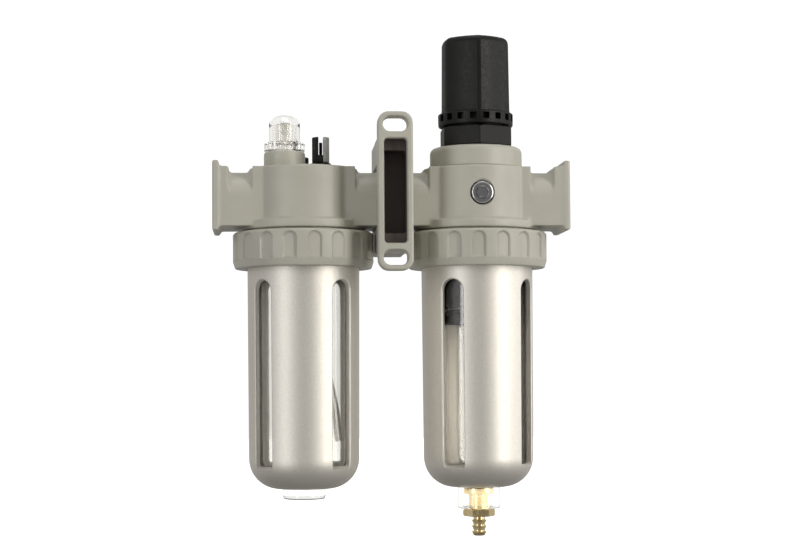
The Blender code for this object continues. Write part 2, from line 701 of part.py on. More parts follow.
def lubricator_body(unit):
    body = casting("lubricator_body", unit, -1)
    fuse(body, rod(OIL_HUB_RADIUS, OIL_HUB_BOTTOM, SPIGOT_ROOF + FIT))
    fuse(body, rod(COLLAR_RADIUS, BODY_TOP - BLOCK_EDGE * 2, COLLAR_TOP, ROUND), (DOME_X, 0.0, 0.0))
    through = PORT_REACH + UNIT_PITCH / 2 - JOINT_GAP / 2
    bore = lying(rod(PORT_BORE, -through / 2 - FIT, through / 2 + FIT), "+X")
    cut(body, bore, ((through / 2 - PORT_REACH), 0.0, 0.0))
    cut(body, rod(COLLAR_BORE, COLLAR_TOP - COLLAR_DEPTH, COLLAR_TOP + FIT), (DOME_X, 0.0, 0.0))
    cut(body, rod(FEED_NEEDLE + THREAD_FIT, BODY_TOP - SMALL_BORE_DEPTH, BODY_TOP + FIT), (FEED_X, 0.0, 0.0))
    x, y = FILLER_PLACE
    cut(body, rod(FILLER_STEM + THREAD_FIT, BODY_TOP - SMALL_BORE_DEPTH, BODY_TOP + FIT), (x, y, 0.0))
    cut(body, rod(HOLDER_RADIUS + FIT, OIL_HUB_BOTTOM - FIT, OIL_HUB_BOTTOM + HOLDER_SOCKET))
    return body


def arched_grip():
    """The cutter of one finger recess in a coupling ring: straight sides and an arched top, facing -Y."""
    half = GRIP_WIDTH / 2
    top = RING_TOP - GRIP_TOP
    outline = [(-half, top - GRIP_HEIGHT), (half, top - GRIP_HEIGHT)]
    outline += arc((0.0, top - half), half, 0.0, 180.0, 5)
    shape = prism(outline, RING_RADIUS - GRIP_DEPTH, RING_RADIUS + GRIP_DEPTH)
    shape.transform(Matrix.Rotation(math.radians(90.0), 4, "X"))
    return shape


def coupling_ring(name, unit, turn):
    """The knurled ring that screws onto the body and carries the guard and the bowl on its sill."""
    thread = SPIGOT_RADIUS + THREAD_FIT
    sill = GUARD_RADIUS + FIT
    ring = solid(
        name,
        turned([
            (thread, RING_TOP), (RING_RADIUS - RING_EDGE, RING_TOP), (RING_RADIUS, RING_TOP - RING_EDGE),
            (RING_RADIUS, RING_BOTTOM + RING_FOOT), (RING_RADIUS - RING_FOOT_TAPER, RING_BOTTOM),
            (sill, RING_BOTTOM), (sill, RING_BOTTOM + RING_SILL), (thread, RING_BOTTOM + RING_SILL),
        ], RING_GRIPS * 2),
        "painted_die_cast",
        unit,
    )
    cut(ring, around(arched_grip, RING_GRIPS, turn))
    return ring


def window_cutter():
    """The cutter of one guard window: a round top and a sill that slopes up inwards, facing -Y."""
    half = SLOT_WIDTH / 2
    outline = [(-half, SLOT_BOTTOM), (half, SLOT_BOTTOM)] + arc((0.0, SLOT_TOP - half), half, 0.0, 180.0, 7)
    shape = prism(outline, GUARD_RADIUS - GUARD_CORNER, GUARD_RADIUS + GUARD_WALL)
    shape.transform(Matrix.Rotation(math.radians(90.0), 4, "X"))
    slope = SLOT_SLOPE / GUARD_WALL
    for vert in shape.verts:
        if vert.co.z < SLOT_BOTTOM + FIT:
            vert.co.z += slope * (vert.co.y + GUARD_RADIUS)
    return shape


def guard(name, unit, turn):
    """The metal bowl guard with its four windows."""
    hole = BOSS_RADIUS + SLIDE_FIT
    foot = GUARD_RADIUS - GUARD_TAPER
    centre = (foot - GUARD_CORNER, CORNER_HEIGHT)
    inner = GUARD_CORNER - GUARD_WALL
    outline = [(GUARD_RADIUS, GUARD_FLANGE_BOTTOM)]
    outline += arc(centre, GUARD_CORNER, 0.0, -90.0, 5)
    outline += [(hole, GUARD_BOTTOM), (hole, GUARD_BOTTOM + GUARD_WALL)]
    outline += arc(centre, inner, -90.0, 0.0, 5)
    outline += [
        (GUARD_RADIUS - GUARD_WALL, GUARD_TOP),
        (SPIGOT_RADIUS, GUARD_TOP),
        (SPIGOT_RADIUS, GUARD_FLANGE_BOTTOM),
    ]
    shell = solid(name, turned(outline), "satin_steel", unit)
    cut(shell, around(window_cutter, GUARD_SLOTS, turn + math.pi / GUARD_SLOTS))
    return shell


def bowl(name, unit, boss_bottom, drained):
    """The clear bowl: rim with a seal groove, flange, tapered wall, rounded floor and its bottom boss."""
    foot = BOWL_RADIUS - GUARD_TAPER
    reach = GUARD_CORNER - GUARD_WALL - SLIDE_FIT
    centre = (foot - reach, CORNER_HEIGHT)
    groove = SEAL_HEIGHT + SEAL_WIRE + FIT, SEAL_HEIGHT - SEAL_WIRE - FIT
    groove_floor = BOWL_RIM_RADIUS - SEAL_WIRE * 2
    flange = SPIGOT_RADIUS - FIT
    outline = [
        (BOWL_BORE, BOWL_RIM_TOP), (BOWL_RIM_RADIUS, BOWL_RIM_TOP), (BOWL_RIM_RADIUS, groove[0]),
        (groove_floor, groove[0]), (groove_floor, groove[1]), (BOWL_RIM_RADIUS, groove[1]),
        (BOWL_RIM_RADIUS, BOWL_FLANGE_TOP), (flange, BOWL_FLANGE_TOP), (flange, BOWL_FLANGE_BOTTOM),
        (BOWL_RADIUS, BOWL_FLANGE_BOTTOM),
    ]
    outline += arc(centre, reach, 0.0, -90.0)
    outline += [(BOSS_RADIUS, BOWL_BOTTOM), (BOSS_RADIUS, boss_bottom + BOSS_EDGE)]
    outline += [(BOSS_RADIUS - BOSS_EDGE, boss_bottom)]
    inner = arc(centre, reach - BOWL_WALL, -90.0, 0.0)
    if drained:
        cup = BOSS_RADIUS - BOSS_WALL
        hole = DRAIN_STEM + THREAD_FIT
        outline += [(cup, boss_bottom), (cup, BOSS_FLOOR), (hole, BOSS_FLOOR), (hole, BOWL_FLOOR)] + inner
        return solid(name, turned(outline, MIDDLE_ROUND), "clear_polycarbonate", unit)
    # A closed bowl starts and ends on its axis, so the outline is reordered to run from floor to boss.
    outline = [(0.0, BOWL_FLOOR)] + inner + outline + [(0.0, boss_bottom)]
    return solid(name, turned(outline, MIDDLE_ROUND, joined=False), "clear_polycarbonate", unit)


def ring_seal(name, unit, radius, wire, height, steps=MIDDLE_ROUND):
    return solid(name, turned(arc((radius, height), wire, 0.0, 300.0, 6), steps), "black_rubber", unit)


def bowl_set(prefix, unit, ring_turn, guard_turn, boss_bottom, drained):
    """Ring, guard, bowl and seal of one unit."""
    coupling_ring(f"{prefix}_bowl_ring", unit, ring_turn)
    guard(f"{prefix}_bowl_guard", unit, guard_turn)
    bowl(f"{prefix}_bowl", unit, boss_bottom, drained)
    seal_radius = BOWL_RIM_RADIUS - SEAL_WIRE + FIT
    ring_seal(f"{prefix}_bowl_seal", unit, seal_radius, SEAL_WIRE, SEAL_HEIGHT)


def setting_parts(unit):
    """Everything above the regulator body: diaphragm, bonnet, spring, nut, screw and knob."""
    seat = DIAPHRAGM_SEAT
    low, high = seat + FIT, seat + FIT + DIAPHRAGM_WALL
    hole = PLATE_RADIUS + FIT
    bead_in = (hole + DIAPHRAGM_RADIUS - BEAD_SLOPE) / 2
    bead_out = bead_in + BEAD_WIDTH
    solid("diaphragm", turned([
        (hole, low), (DIAPHRAGM_RADIUS, low), (DIAPHRAGM_RADIUS, high), (bead_out, high),
        (bead_out - BEAD_SLOPE, high + BEAD_HEIGHT), (bead_in + BEAD_SLOPE, high + BEAD_HEIGHT),
        (bead_in, high), (hole, high),
    ], MIDDLE_ROUND), "black_rubber", unit)
    plate_low = seat - PLATE_DROP
    seat_low = high + PLATE_SEAT_LIFT
    seat_high = seat_low + PLATE_SEAT_WALL
    centring = SPRING_RADIUS - SPRING_WIRE - SLIDE_FIT
    relief = STEM_RADIUS - FIT
    solid("diaphragm_plate", turned([
        (relief, plate_low), (PLATE_RADIUS, plate_low), (PLATE_RADIUS, seat_low),
        (PLATE_SEAT_RADIUS, seat_low), (PLATE_SEAT_RADIUS, seat_high), (centring, seat_high),
        (centring, seat_high + SPRING_WIRE), (relief, seat_high + SPRING_WIRE),
    ], MIDDLE_ROUND), "aluminium", unit)

    opening = CAGE_RADIUS + THREAD_FIT
    bottom = BODY_TOP + FIT
    top = BONNET_TOP
    room = BONNET_RADIUS - BONNET_WALL
    outline = [(room, bottom), (BONNET_RADIUS, bottom), (BONNET_RADIUS, top - BONNET_SHOULDER)]
    outline += arc((BONNET_RADIUS - BONNET_SHOULDER, top - BONNET_SHOULDER), BONNET_SHOULDER, 0.0, 90.0)[1:]
    cage_floor = top - CAGE_LENGTH_BELOW
    outline += [(opening, top), (opening, cage_floor), (room, cage_floor - BONNET_UNDERCUT)]
    solid("bonnet", turned(outline), "painted_die_cast", unit)

    spring_low = seat_high + FIT
    cage_low = top - CAGE_LENGTH_BELOW + FIT
    cage_bore = CAGE_RADIUS - CAGE_WALL
    roof = CAGE_TOP - CAGE_ROOF
    screw_hole = SCREW_RADIUS + THREAD_FIT
    cage = solid("spring_cage", rod(CAGE_RADIUS, cage_low, CAGE_TOP, ROUND), "black_plastic", unit)
    fuse(cage, prism(polygon(6, HEX_CORNER_RADIUS, math.radians(-90.0)), HEX_BOTTOM, HEX_TOP))
    cut(cage, rod(cage_bore, cage_low - FIT, roof, ROUND))
    cut(cage, rod(screw_hole, roof - FIT, CAGE_TOP + FIT))
    groove = KEY_WIDTH / 2 + FIT
    groove_reach = cage_bore + KEY_DEPTH
    cut(cage, block((-groove_reach, groove_reach), (-groove, groove), (cage_low - FIT, roof - KEY_SHORT)))

    collar_high = roof - FIT
    collar_low = collar_high - SCREW_COLLAR_WALL
    nut_high = collar_low - FIT
    nut_low = nut_high - NUT_HEIGHT
    nut = solid("spring_nut", rod(cage_bore - FIT, nut_low, nut_high, ROUND), "aluminium", unit)
    key_reach = groove_reach - FIT
    fuse(nut, block((-key_reach, key_reach), (-KEY_WIDTH / 2, KEY_WIDTH / 2),
                    (nut_low + KEY_SHORT, nut_high - KEY_SHORT)))
    cut(nut, rod(screw_hole, nut_low - FIT, nut_high + FIT))
    coil("pressure_spring", SPRING_RADIUS, SPRING_WIRE, SPRING_TURNS, spring_low, nut_low - FIT,
         "spring_steel", unit)
    screw_end = nut_low - NUT_TRAVEL - SCREW_PROUD
    screw = solid("adjusting_screw", turned([
        (0.0, screw_end), (SCREW_RADIUS, screw_end), (SCREW_RADIUS, collar_low), (SCREW_COLLAR, collar_low),
        (SCREW_COLLAR, collar_high), (SCREW_RADIUS, collar_high), (SCREW_RADIUS, CAGE_TOP + FIT),
        (0.0, CAGE_TOP + FIT),
    ], SMALL_ROUND, joined=False), "spring_steel", unit)
    fuse(screw, prism(hexagon(SCREW_HEX_FLATS), CAGE_TOP, SCREW_TOP))
    knob(unit)


def knob(unit):
    """The pull-up knob. Windows round its lower rim show the lock, and a hexagon socket drives the screw."""
    bore = CAGE_RADIUS + FIT + MOULD_FIT
    ceiling = CAGE_TOP + KNOB_CEILING_GAP
    sill = KNOB_BOTTOM + KNOB_WINDOW_SILL
    head = sill + KNOB_WINDOW_HEIGHT
    outline = [(0.0, ceiling), (bore, ceiling), (bore, KNOB_BOTTOM), (KNOB_RIM_RADIUS, KNOB_BOTTOM)]
    outline.append((KNOB_RIM_RADIUS, head + 2 * KNOB_RIM_STEP))
    outline.append((KNOB_RIM_RADIUS - KNOB_RIM_STEP, head + 3 * KNOB_RIM_STEP))
    outline += arc((KNOB_TOP_RADIUS - KNOB_CORNER, KNOB_TOP - KNOB_CORNER), KNOB_CORNER, 0.0, KNOB_DRAFT)
    outline += [(0.0, KNOB_TOP)]
    piece = solid("pressure_knob", turned(outline, KNOB_WINDOWS * 2, joined=False), "black_plastic", unit)
    socket = SCREW_HEX_FLATS + 2 * FIT
    cut(piece, prism(hexagon(socket), ceiling - FIT, SCREW_TOP + SLIDE_FIT))

    def window():
        half = KNOB_WINDOW_WIDTH / 2
        return block((-half, half), (-KNOB_RIM_RADIUS - FIT, -bore + FIT), (sill, head))

    cut(piece, around(window, KNOB_WINDOWS, math.pi / KNOB_WINDOWS))
    return piece


def valve_parts(unit):
    """The pressure valve below the diaphragm and the filter that hangs from it."""
    seat_high = WEB_TOP - WEB_WALL - FIT
    seat_low = seat_high - SEAT_WALL
    solid("valve_seat", tube(SEAT_BORE, SEAT_RADIUS, seat_low, seat_high), "brass", unit)
    poppet_high = seat_low - FIT
    poppet_low = poppet_high - POPPET_WALL
    solid("poppet", rod(POPPET_RADIUS, poppet_low, poppet_high), "black_rubber", unit)
    solid("valve_stem", rod(STEM_RADIUS, poppet_high + FIT, DIAPHRAGM_SEAT - PLATE_DROP - FIT), "brass", unit)

    flange_high = HUB_BOTTOM - FIT
    flange_low = flange_high - GUIDE_FLANGE
    floor = flange_high + GUIDE_FLOOR
    sleeve = POCKET_RADIUS - FIT
    sleeve_top = poppet_low + GUIDE_OVERLAP
    stud_low = DEFLECTOR_BOTTOM - STUD_LENGTH
    guide = solid("valve_guide", turned([
        (0.0, stud_low), (STUD_RADIUS, stud_low), (STUD_RADIUS, flange_low), (HUB_RADIUS, flange_low),
        (HUB_RADIUS, flange_high), (sleeve, flange_high), (sleeve, sleeve_top),
        (sleeve - GUIDE_WALL, sleeve_top), (sleeve - GUIDE_WALL, floor), (0.0, floor),
    ], MIDDLE_ROUND, joined=False), "black_plastic", unit)

    def air_hole():
        shape = rod(GUIDE_HOLE_RADIUS, flange_low - FIT, floor + FIT, 8)
        shape.transform(Matrix.Translation((0.0, -GUIDE_HOLE_CIRCLE, 0.0)))
        return shape

    cut(guide, around(air_hole, GUIDE_HOLES))
    coil("valve_spring", VALVE_SPRING_RADIUS, VALVE_WIRE, VALVE_SPRING_TURNS, floor + FIT, poppet_low - FIT,
         "spring_steel", unit, 8)

    plate_high = flange_low - FIT
    plate_low = plate_high - DEFLECTOR_PLATE
    plate_bore = ELEMENT_BORE
    deflector = solid("deflector", turned([
        (plate_bore, plate_low), (DEFLECTOR_RADIUS - DEFLECTOR_WALL, plate_low),
        (DEFLECTOR_RADIUS - DEFLECTOR_WALL, DEFLECTOR_BOTTOM), (DEFLECTOR_RADIUS, DEFLECTOR_BOTTOM),
        (DEFLECTOR_RADIUS, plate_high), (plate_bore, plate_high),
    ], MIDDLE_ROUND), "black_plastic", unit)

    vane_height = flange_high - plate_high + FIT
    vane_length = DEFLECTOR_RADIUS - HUB_RADIUS - 3 * FIT
    for i in range(DEFLECTOR_VANES):
        length, height = vane_length / 2, vane_height / 2
        vane = block((-VANE_HALF_WALL, VANE_HALF_WALL), (-length, length), (-height, height))
        vane.transform(Matrix.Rotation(VANE_LEAN, 4, "Y"))
        middle = (0.0, -HUB_RADIUS - 2 * FIT - vane_length / 2, plate_high - FIT + vane_height / 2)
        vane.transform(Matrix.Translation(middle))
        vane.transform(Matrix.Rotation(math.tau * i / DEFLECTOR_VANES, 4, "Z"))
        fuse(deflector, vane)
    element_low = DEFLECTOR_BOTTOM - ELEMENT_PROUD
    solid("filter_element", tube(ELEMENT_BORE, ELEMENT_RADIUS, element_low, plate_low - FIT, MIDDLE_ROUND),
          "sintered_element", unit)
    baffle_high = element_low - FIT
    edge = baffle_high - BAFFLE_WALL
    bore = STUD_RADIUS + THREAD_FIT
    solid("baffle", turned([
        (bore, edge), (BAFFLE_RADIUS - BAFFLE_WALL, edge - BAFFLE_SKIRT + BAFFLE_WALL),
        (BAFFLE_RADIUS - BAFFLE_WALL, edge - BAFFLE_SKIRT), (BAFFLE_RADIUS, edge - BAFFLE_SKIRT),
        (BAFFLE_RADIUS, edge), (ELEMENT_RADIUS, baffle_high), (bore, baffle_high),
    ], MIDDLE_ROUND), "black_plastic", unit)


def drain_parts(unit):
    """The manual drain in the bottom of the filter bowl."""
    flange_high = BOSS_FLOOR - FIT
    flange_low = flange_high - DRAIN_FLANGE
    nut_low = BOWL_FLOOR + FIT
    nut_high = nut_low + DRAIN_NUT_HEIGHT
    hex_high = FILTER_BOSS_BOTTOM - FIT
    hex_low = hex_high - COCK_HEX_HEIGHT
    body_low = hex_high + COCK_GAP
    solid("drain_body", turned([
        (DRAIN_BORE, body_low), (DRAIN_STEM, body_low), (DRAIN_STEM, flange_low),
        (DRAIN_FLANGE_RADIUS, flange_low), (DRAIN_FLANGE_RADIUS, flange_high), (DRAIN_STEM, flange_high),
        (DRAIN_STEM, nut_high + DRAIN_STEM_PROUD), (DRAIN_BORE, nut_high + DRAIN_STEM_PROUD),
    ], MIDDLE_ROUND), "brass", unit)
    nut = solid("drain_lock_nut", prism(hexagon(DRAIN_NUT_FLATS), nut_low, nut_high), "brass", unit)
    cut(nut, rod(DRAIN_STEM + THREAD_FIT, nut_low - FIT, nut_high + FIT))

    pitch = (hex_low - BARB_BOTTOM - DRAIN_STEM_PROUD) / BARB_RIDGES
    outline = [(BARB_BORE, BARB_BOTTOM), (BARB_ROOT, BARB_BOTTOM)]
    for i in range(BARB_RIDGES):
        low = BARB_BOTTOM + pitch * i
        outline += [(BARB_RADIUS, low + pitch * BARB_RISE), (BARB_ROOT, low + pitch * BARB_FALL)]
        outline += [(BARB_ROOT, low + pitch)]
    outline += [
        (BARB_ROOT, hex_high - COCK_WEB), (COCK_SPINDLE, hex_high - COCK_WEB), (COCK_SPINDLE, nut_high),
        (BARB_BORE, nut_high),
    ]
    cock = solid("drain_cock", turned(outline, 12), "brass", unit)
    fuse(cock, prism(polygon(6, COCK_HEX_CORNERS), hex_low, hex_high))
    cut(cock, rod(BARB_BORE, BARB_BOTTOM - FIT, nut_high + FIT, 12))
    return cock


def lubricator_parts(unit):
    """Sight dome, drip tube, feed screw and filler on top; siphon and damper inside."""
    flange_low = COLLAR_TOP + FIT
    flange_high = flange_low + DOME_FLANGE
    thread = COLLAR_BORE - THREAD_FIT
    edge = DOME_EDGE
    bore = DOME_RADIUS - DOME_WALL
    outline = [(bore, COLLAR_TOP - DOME_THREAD), (thread, COLLAR_TOP - DOME_THREAD), (thread, flange_low)]
    outline += [(COLLAR_RADIUS, flange_low), (COLLAR_RADIUS, flange_high), (DOME_RADIUS, flange_high)]
    outline += arc((DOME_RADIUS - edge, DOME_TOP - edge), edge, 0.0, 90.0, 3)
    ceiling = DOME_TOP - DOME_WALL
    outline = [(0.0, ceiling), (bore, ceiling)] + outline + [(0.0, DOME_TOP)]
    place = (DOME_X, 0.0, 0.0)
    solid("sight_dome", turned(outline, MIDDLE_ROUND, joined=False), "clear_polycarbonate", unit, place)

    base_low = COLLAR_TOP - COLLAR_DEPTH + FIT
    base_high = base_low + NOZZLE_BASE
    inner = NOZZLE_RADIUS - NOZZLE_WALL
    cap = NOZZLE_TOP - NOZZLE_WALL
    solid("drip_nozzle", turned([
        (0.0, NOZZLE_TIP), (NOZZLE_TIP_RADIUS, NOZZLE_TIP), (NOZZLE_TIP_RADIUS, cap), (inner, cap),
        (inner, base_low), (bore - FIT, base_low), (bore - FIT, base_high), (NOZZLE_RADIUS, base_high),
        (NOZZLE_RADIUS, NOZZLE_TOP), (0.0, NOZZLE_TOP),
    ], SMALL_ROUND, joined=False), "clear_polycarbonate", unit, place)

    ring_low = BODY_TOP + FIT
    ring_high = ring_low + SCALE_HEIGHT
    feed = (FEED_X, 0.0, 0.0)
    scale = solid("feed_scale_ring", tube(FEED_NEEDLE + FIT, SCALE_RADIUS, ring_low, ring_high),
                  "black_plastic", unit, feed)

    def notch():
        return block((-NOTCH_HALF_WIDTH, NOTCH_HALF_WIDTH), (-SCALE_RADIUS - FIT, NOTCH_CUT - SCALE_RADIUS),
                     (ring_low + NOTCH_FLOOR, ring_high + FIT))

    cut(scale, around(notch, SCALE_NOTCHES), feed)
    head_low = ring_high + FIT
    point = BODY_TOP - FEED_NEEDLE_LENGTH
    screw = solid("feed_screw", turned([
        (0.0, point), (FEED_NEEDLE, point + FEED_POINT), (FEED_NEEDLE, head_low),
        (FEED_HEAD_RADIUS, head_low), (FEED_HEAD_RADIUS, FEED_HEAD_TOP), (0.0, FEED_HEAD_TOP),
    ], SMALL_ROUND, joined=False), "black_plastic", unit, feed)
    half = FEED_SLOT_WIDTH / 2
    slot = block((-half, half), (-FEED_HEAD_RADIUS * 2, FEED_HEAD_RADIUS * 2),
                 (FEED_HEAD_TOP - FEED_SLOT_DEPTH, FEED_HEAD_TOP + FIT))
    cut(screw, slot, feed)
    fuse(screw, rod(FEED_PIN_RADIUS, FEED_HEAD_TOP - FEED_SLOT_DEPTH - FIT, FEED_PIN_TOP, 8), feed)

    filler = (*FILLER_PLACE, 0.0)
    head_low = ring_low + 2 * FILLER_WIRE + MOULD_FIT
    seal_radius = FILLER_STEM + FILLER_WIRE + MOULD_FIT
    seal = ring_seal("filler_seal", unit, seal_radius, FILLER_WIRE, ring_low + FILLER_WIRE, 12)
    seal.location = filler
    solid("filler_plug", turned([
        (0.0, point), (FILLER_STEM, point), (FILLER_STEM, head_low),
        (FILLER_HEAD_RADIUS, head_low), (FILLER_HEAD_RADIUS, FILLER_TOP), (0.0, FILLER_TOP),
    ], 12, joined=False), "black_plastic", unit, filler)

    siphon_parts(unit)
    damper = solid("flow_damper", lying(tube(DAMPER_BORE, PORT_BORE - FIT, -DAMPER_WALL / 2, DAMPER_WALL / 2),
                                        "+X"), "black_rubber", unit)
    return damper


def siphon_parts(unit):
    """Holder with its check ball, and the bent tube that reaches down into the oil."""
    top = OIL_HUB_BOTTOM + HOLDER_SOCKET - FIT
    chamber = BALL_RADIUS + FIT
    seat_height = HOLDER_BOTTOM + BALL_SEAT
    solid("siphon_holder", turned([
        (TUBE_RADIUS + FIT, HOLDER_BOTTOM), (HOLDER_RADIUS, HOLDER_BOTTOM), (HOLDER_RADIUS, top),
        (chamber, top), (chamber, seat_height + SEAT_CONE), (TUBE_BORE, seat_height),
        (TUBE_BORE, seat_height - SEAT_WEB), (TUBE_RADIUS + FIT, seat_height - SEAT_WEB),
    ], SMALL_ROUND), "black_plastic", unit)
    ball = bmesh.new()
    bmesh.ops.create_uvsphere(ball, u_segments=10, v_segments=6, radius=BALL_RADIUS)
    ball_height = seat_height + SEAT_CONE + MOULD_FIT + BALL_RADIUS
    solid("check_ball", ball, "spring_steel", unit, (0.0, 0.0, ball_height))
    start = Vector((0.0, 0.0, seat_height - SEAT_WEB - FIT))
    end = Vector(TUBE_END)
    points = []
    for i in range(11):
        share = i / 10
        bend = share * share * (3.0 - 2.0 * share) * TUBE_SOFTNESS + share * (1.0 - TUBE_SOFTNESS)
        points.append((end.x * bend, end.y * bend, start.z + (end.z - start.z) * share))
    points.insert(1, (0.0, 0.0, start.z - TUBE_PLUNGE))
    tube_piece = swept("siphon_tube", points, TUBE_RADIUS, "clear_polycarbonate", unit, 6)
    bore = swept("siphon_tube_bore", [(x, y, z + (FIT if i == 0 else 0.0) - (FIT if i == 11 else 0.0))
                                      for i, (x, y, z) in enumerate(points)],
                 TUBE_BORE, None, unit, 6)
    bore.hide_render = True
    bore.display_type = "WIRE"
    modifier = tube_piece.modifiers.new("Bore", "BOOLEAN")
    modifier.object = bore
    modifier.solver = "EXACT"


def jaw_cavities(target):
    """Room for the facing port flanges: a wide cut for both lips, a through cut for the steps."""
    lip = JOINT_GAP / 2 + INNER_LIP + FIT
    lip_depth = ARM_HALF_DEPTH + LIP_PROUD + FIT
    lip_height = LIP_HALF_HEIGHT + FIT
    depths = (WALL_OFFSET - lip_depth, WALL_OFFSET + lip_depth)
    cut(target, block((-lip, lip), depths, (-lip_height, lip_height)))
    depth = ARM_HALF_DEPTH + FIT
    cut(target, block((-PLATE_WIDTH, PLATE_WIDTH), (WALL_OFFSET - depth, WALL_OFFSET + depth),
                      (ARM_BOTTOM - FIT, BODY_TOP + FIT)))


def bracket_parts():
    """Wall bracket, front clamp, their bolts and the gasket between the two units."""
    plate = rounded_rectangle(PLATE_WIDTH, PLATE_HEIGHT, PLATE_CORNER)
    shape = prism(plate, 0.0, PLATE_WALL)
    # The plate's outline is drawn as seen from the wall side and stood up on its edge.
    shape.transform(Matrix.Rotation(math.radians(90.0), 4, "X"))
    shape.transform(Matrix.Rotation(math.pi, 4, "Z"))
    bracket = solid("wall_bracket", shape, "painted_die_cast")
    half = JAW_WIDTH / 2
    split = FIT / 2
    heights = (-WEB_HALF_HEIGHT, WEB_HALF_HEIGHT)
    fuse(bracket, block((-half, half), (PLATE_WALL / 2, WALL_OFFSET - split), heights,
                        BLOCK_EDGE / 2))
    jaw_cavities(bracket)
    width, height = POCKET_WIDTH / 2, POCKET_HEIGHT / 2
    cut(bracket, block((-width, width), (-FIT, LEDGE_DEPTH), (-height, height)))
    heights = (LEDGE_HEIGHT - height, height - LEDGE_HEIGHT)
    cut(bracket, block((-width, width), (-FIT, POCKET_DEPTH), heights))
    for side in (-1, 1):
        slot_round = MOUNT_SLOT_HEIGHT / 2 - MOULD_FIT
        slot = prism(rounded_rectangle(MOUNT_SLOT_LENGTH, MOUNT_SLOT_HEIGHT, slot_round),
                     -FIT, PLATE_WALL + FIT)
        slot.transform(Matrix.Rotation(math.radians(-90.0), 4, "X"))
        cut(bracket, slot, (0.0, 0.0, side * MOUNT_SLOT_PITCH / 2))

    front = WALL_OFFSET + ARM_HALF_DEPTH + LIP_PROUD + FIT + CLAMP_WALL
    clamp = solid("bracket_front_clamp",
                  block((-half, half), (WALL_OFFSET + split, front), (-WEB_HALF_HEIGHT, WEB_HALF_HEIGHT),
                        BLOCK_EDGE / 2), "painted_die_cast")
    jaw_cavities(clamp)
    head_seat = front - BOLT_HEAD_HEIGHT + BOLT_HEAD_PROUD
    hole = BOLT_RADIUS + THREAD_FIT
    for name, side in (("clamp_bolt_upper", 1), ("clamp_bolt_lower", -1)):
        place = (0.0, 0.0, side * BOLT_HEIGHT)
        cut(clamp, lying(rod(hole, WALL_OFFSET, front + FIT), "+Y"), place)
        cut(clamp, lying(rod(BOLT_HEAD_RADIUS + FIT, head_seat - FIT, front + FIT), "+Y"), place)
        cut(bracket, lying(rod(hole, BOLT_TIP - FIT, WALL_OFFSET), "+Y"), place)
        top = head_seat + BOLT_HEAD_HEIGHT
        bolt = solid(name, lying(turned([
            (0.0, BOLT_TIP), (BOLT_RADIUS, BOLT_TIP), (BOLT_RADIUS, head_seat), (BOLT_HEAD_RADIUS, head_seat),
            (BOLT_HEAD_RADIUS, top), (0.0, top),
        ], SMALL_ROUND, joined=False), "+Y"), "spring_steel", None, place)
        cut(bolt, lying(prism(hexagon(BOLT_KEY_FLATS), top - BOLT_KEY_DEPTH, top + FIT), "+Y"), place)
    gasket = JOINT_GAP / 2 - FIT
    flat_ring = tube(PORT_BORE + FIT, PORT_BORE + GASKET_WIDTH, -gasket, gasket, MIDDLE_ROUND)
    solid("joint_gasket", lying(flat_ring, "+X"),
          "black_rubber", None, (0.0, WALL_OFFSET, 0.0))


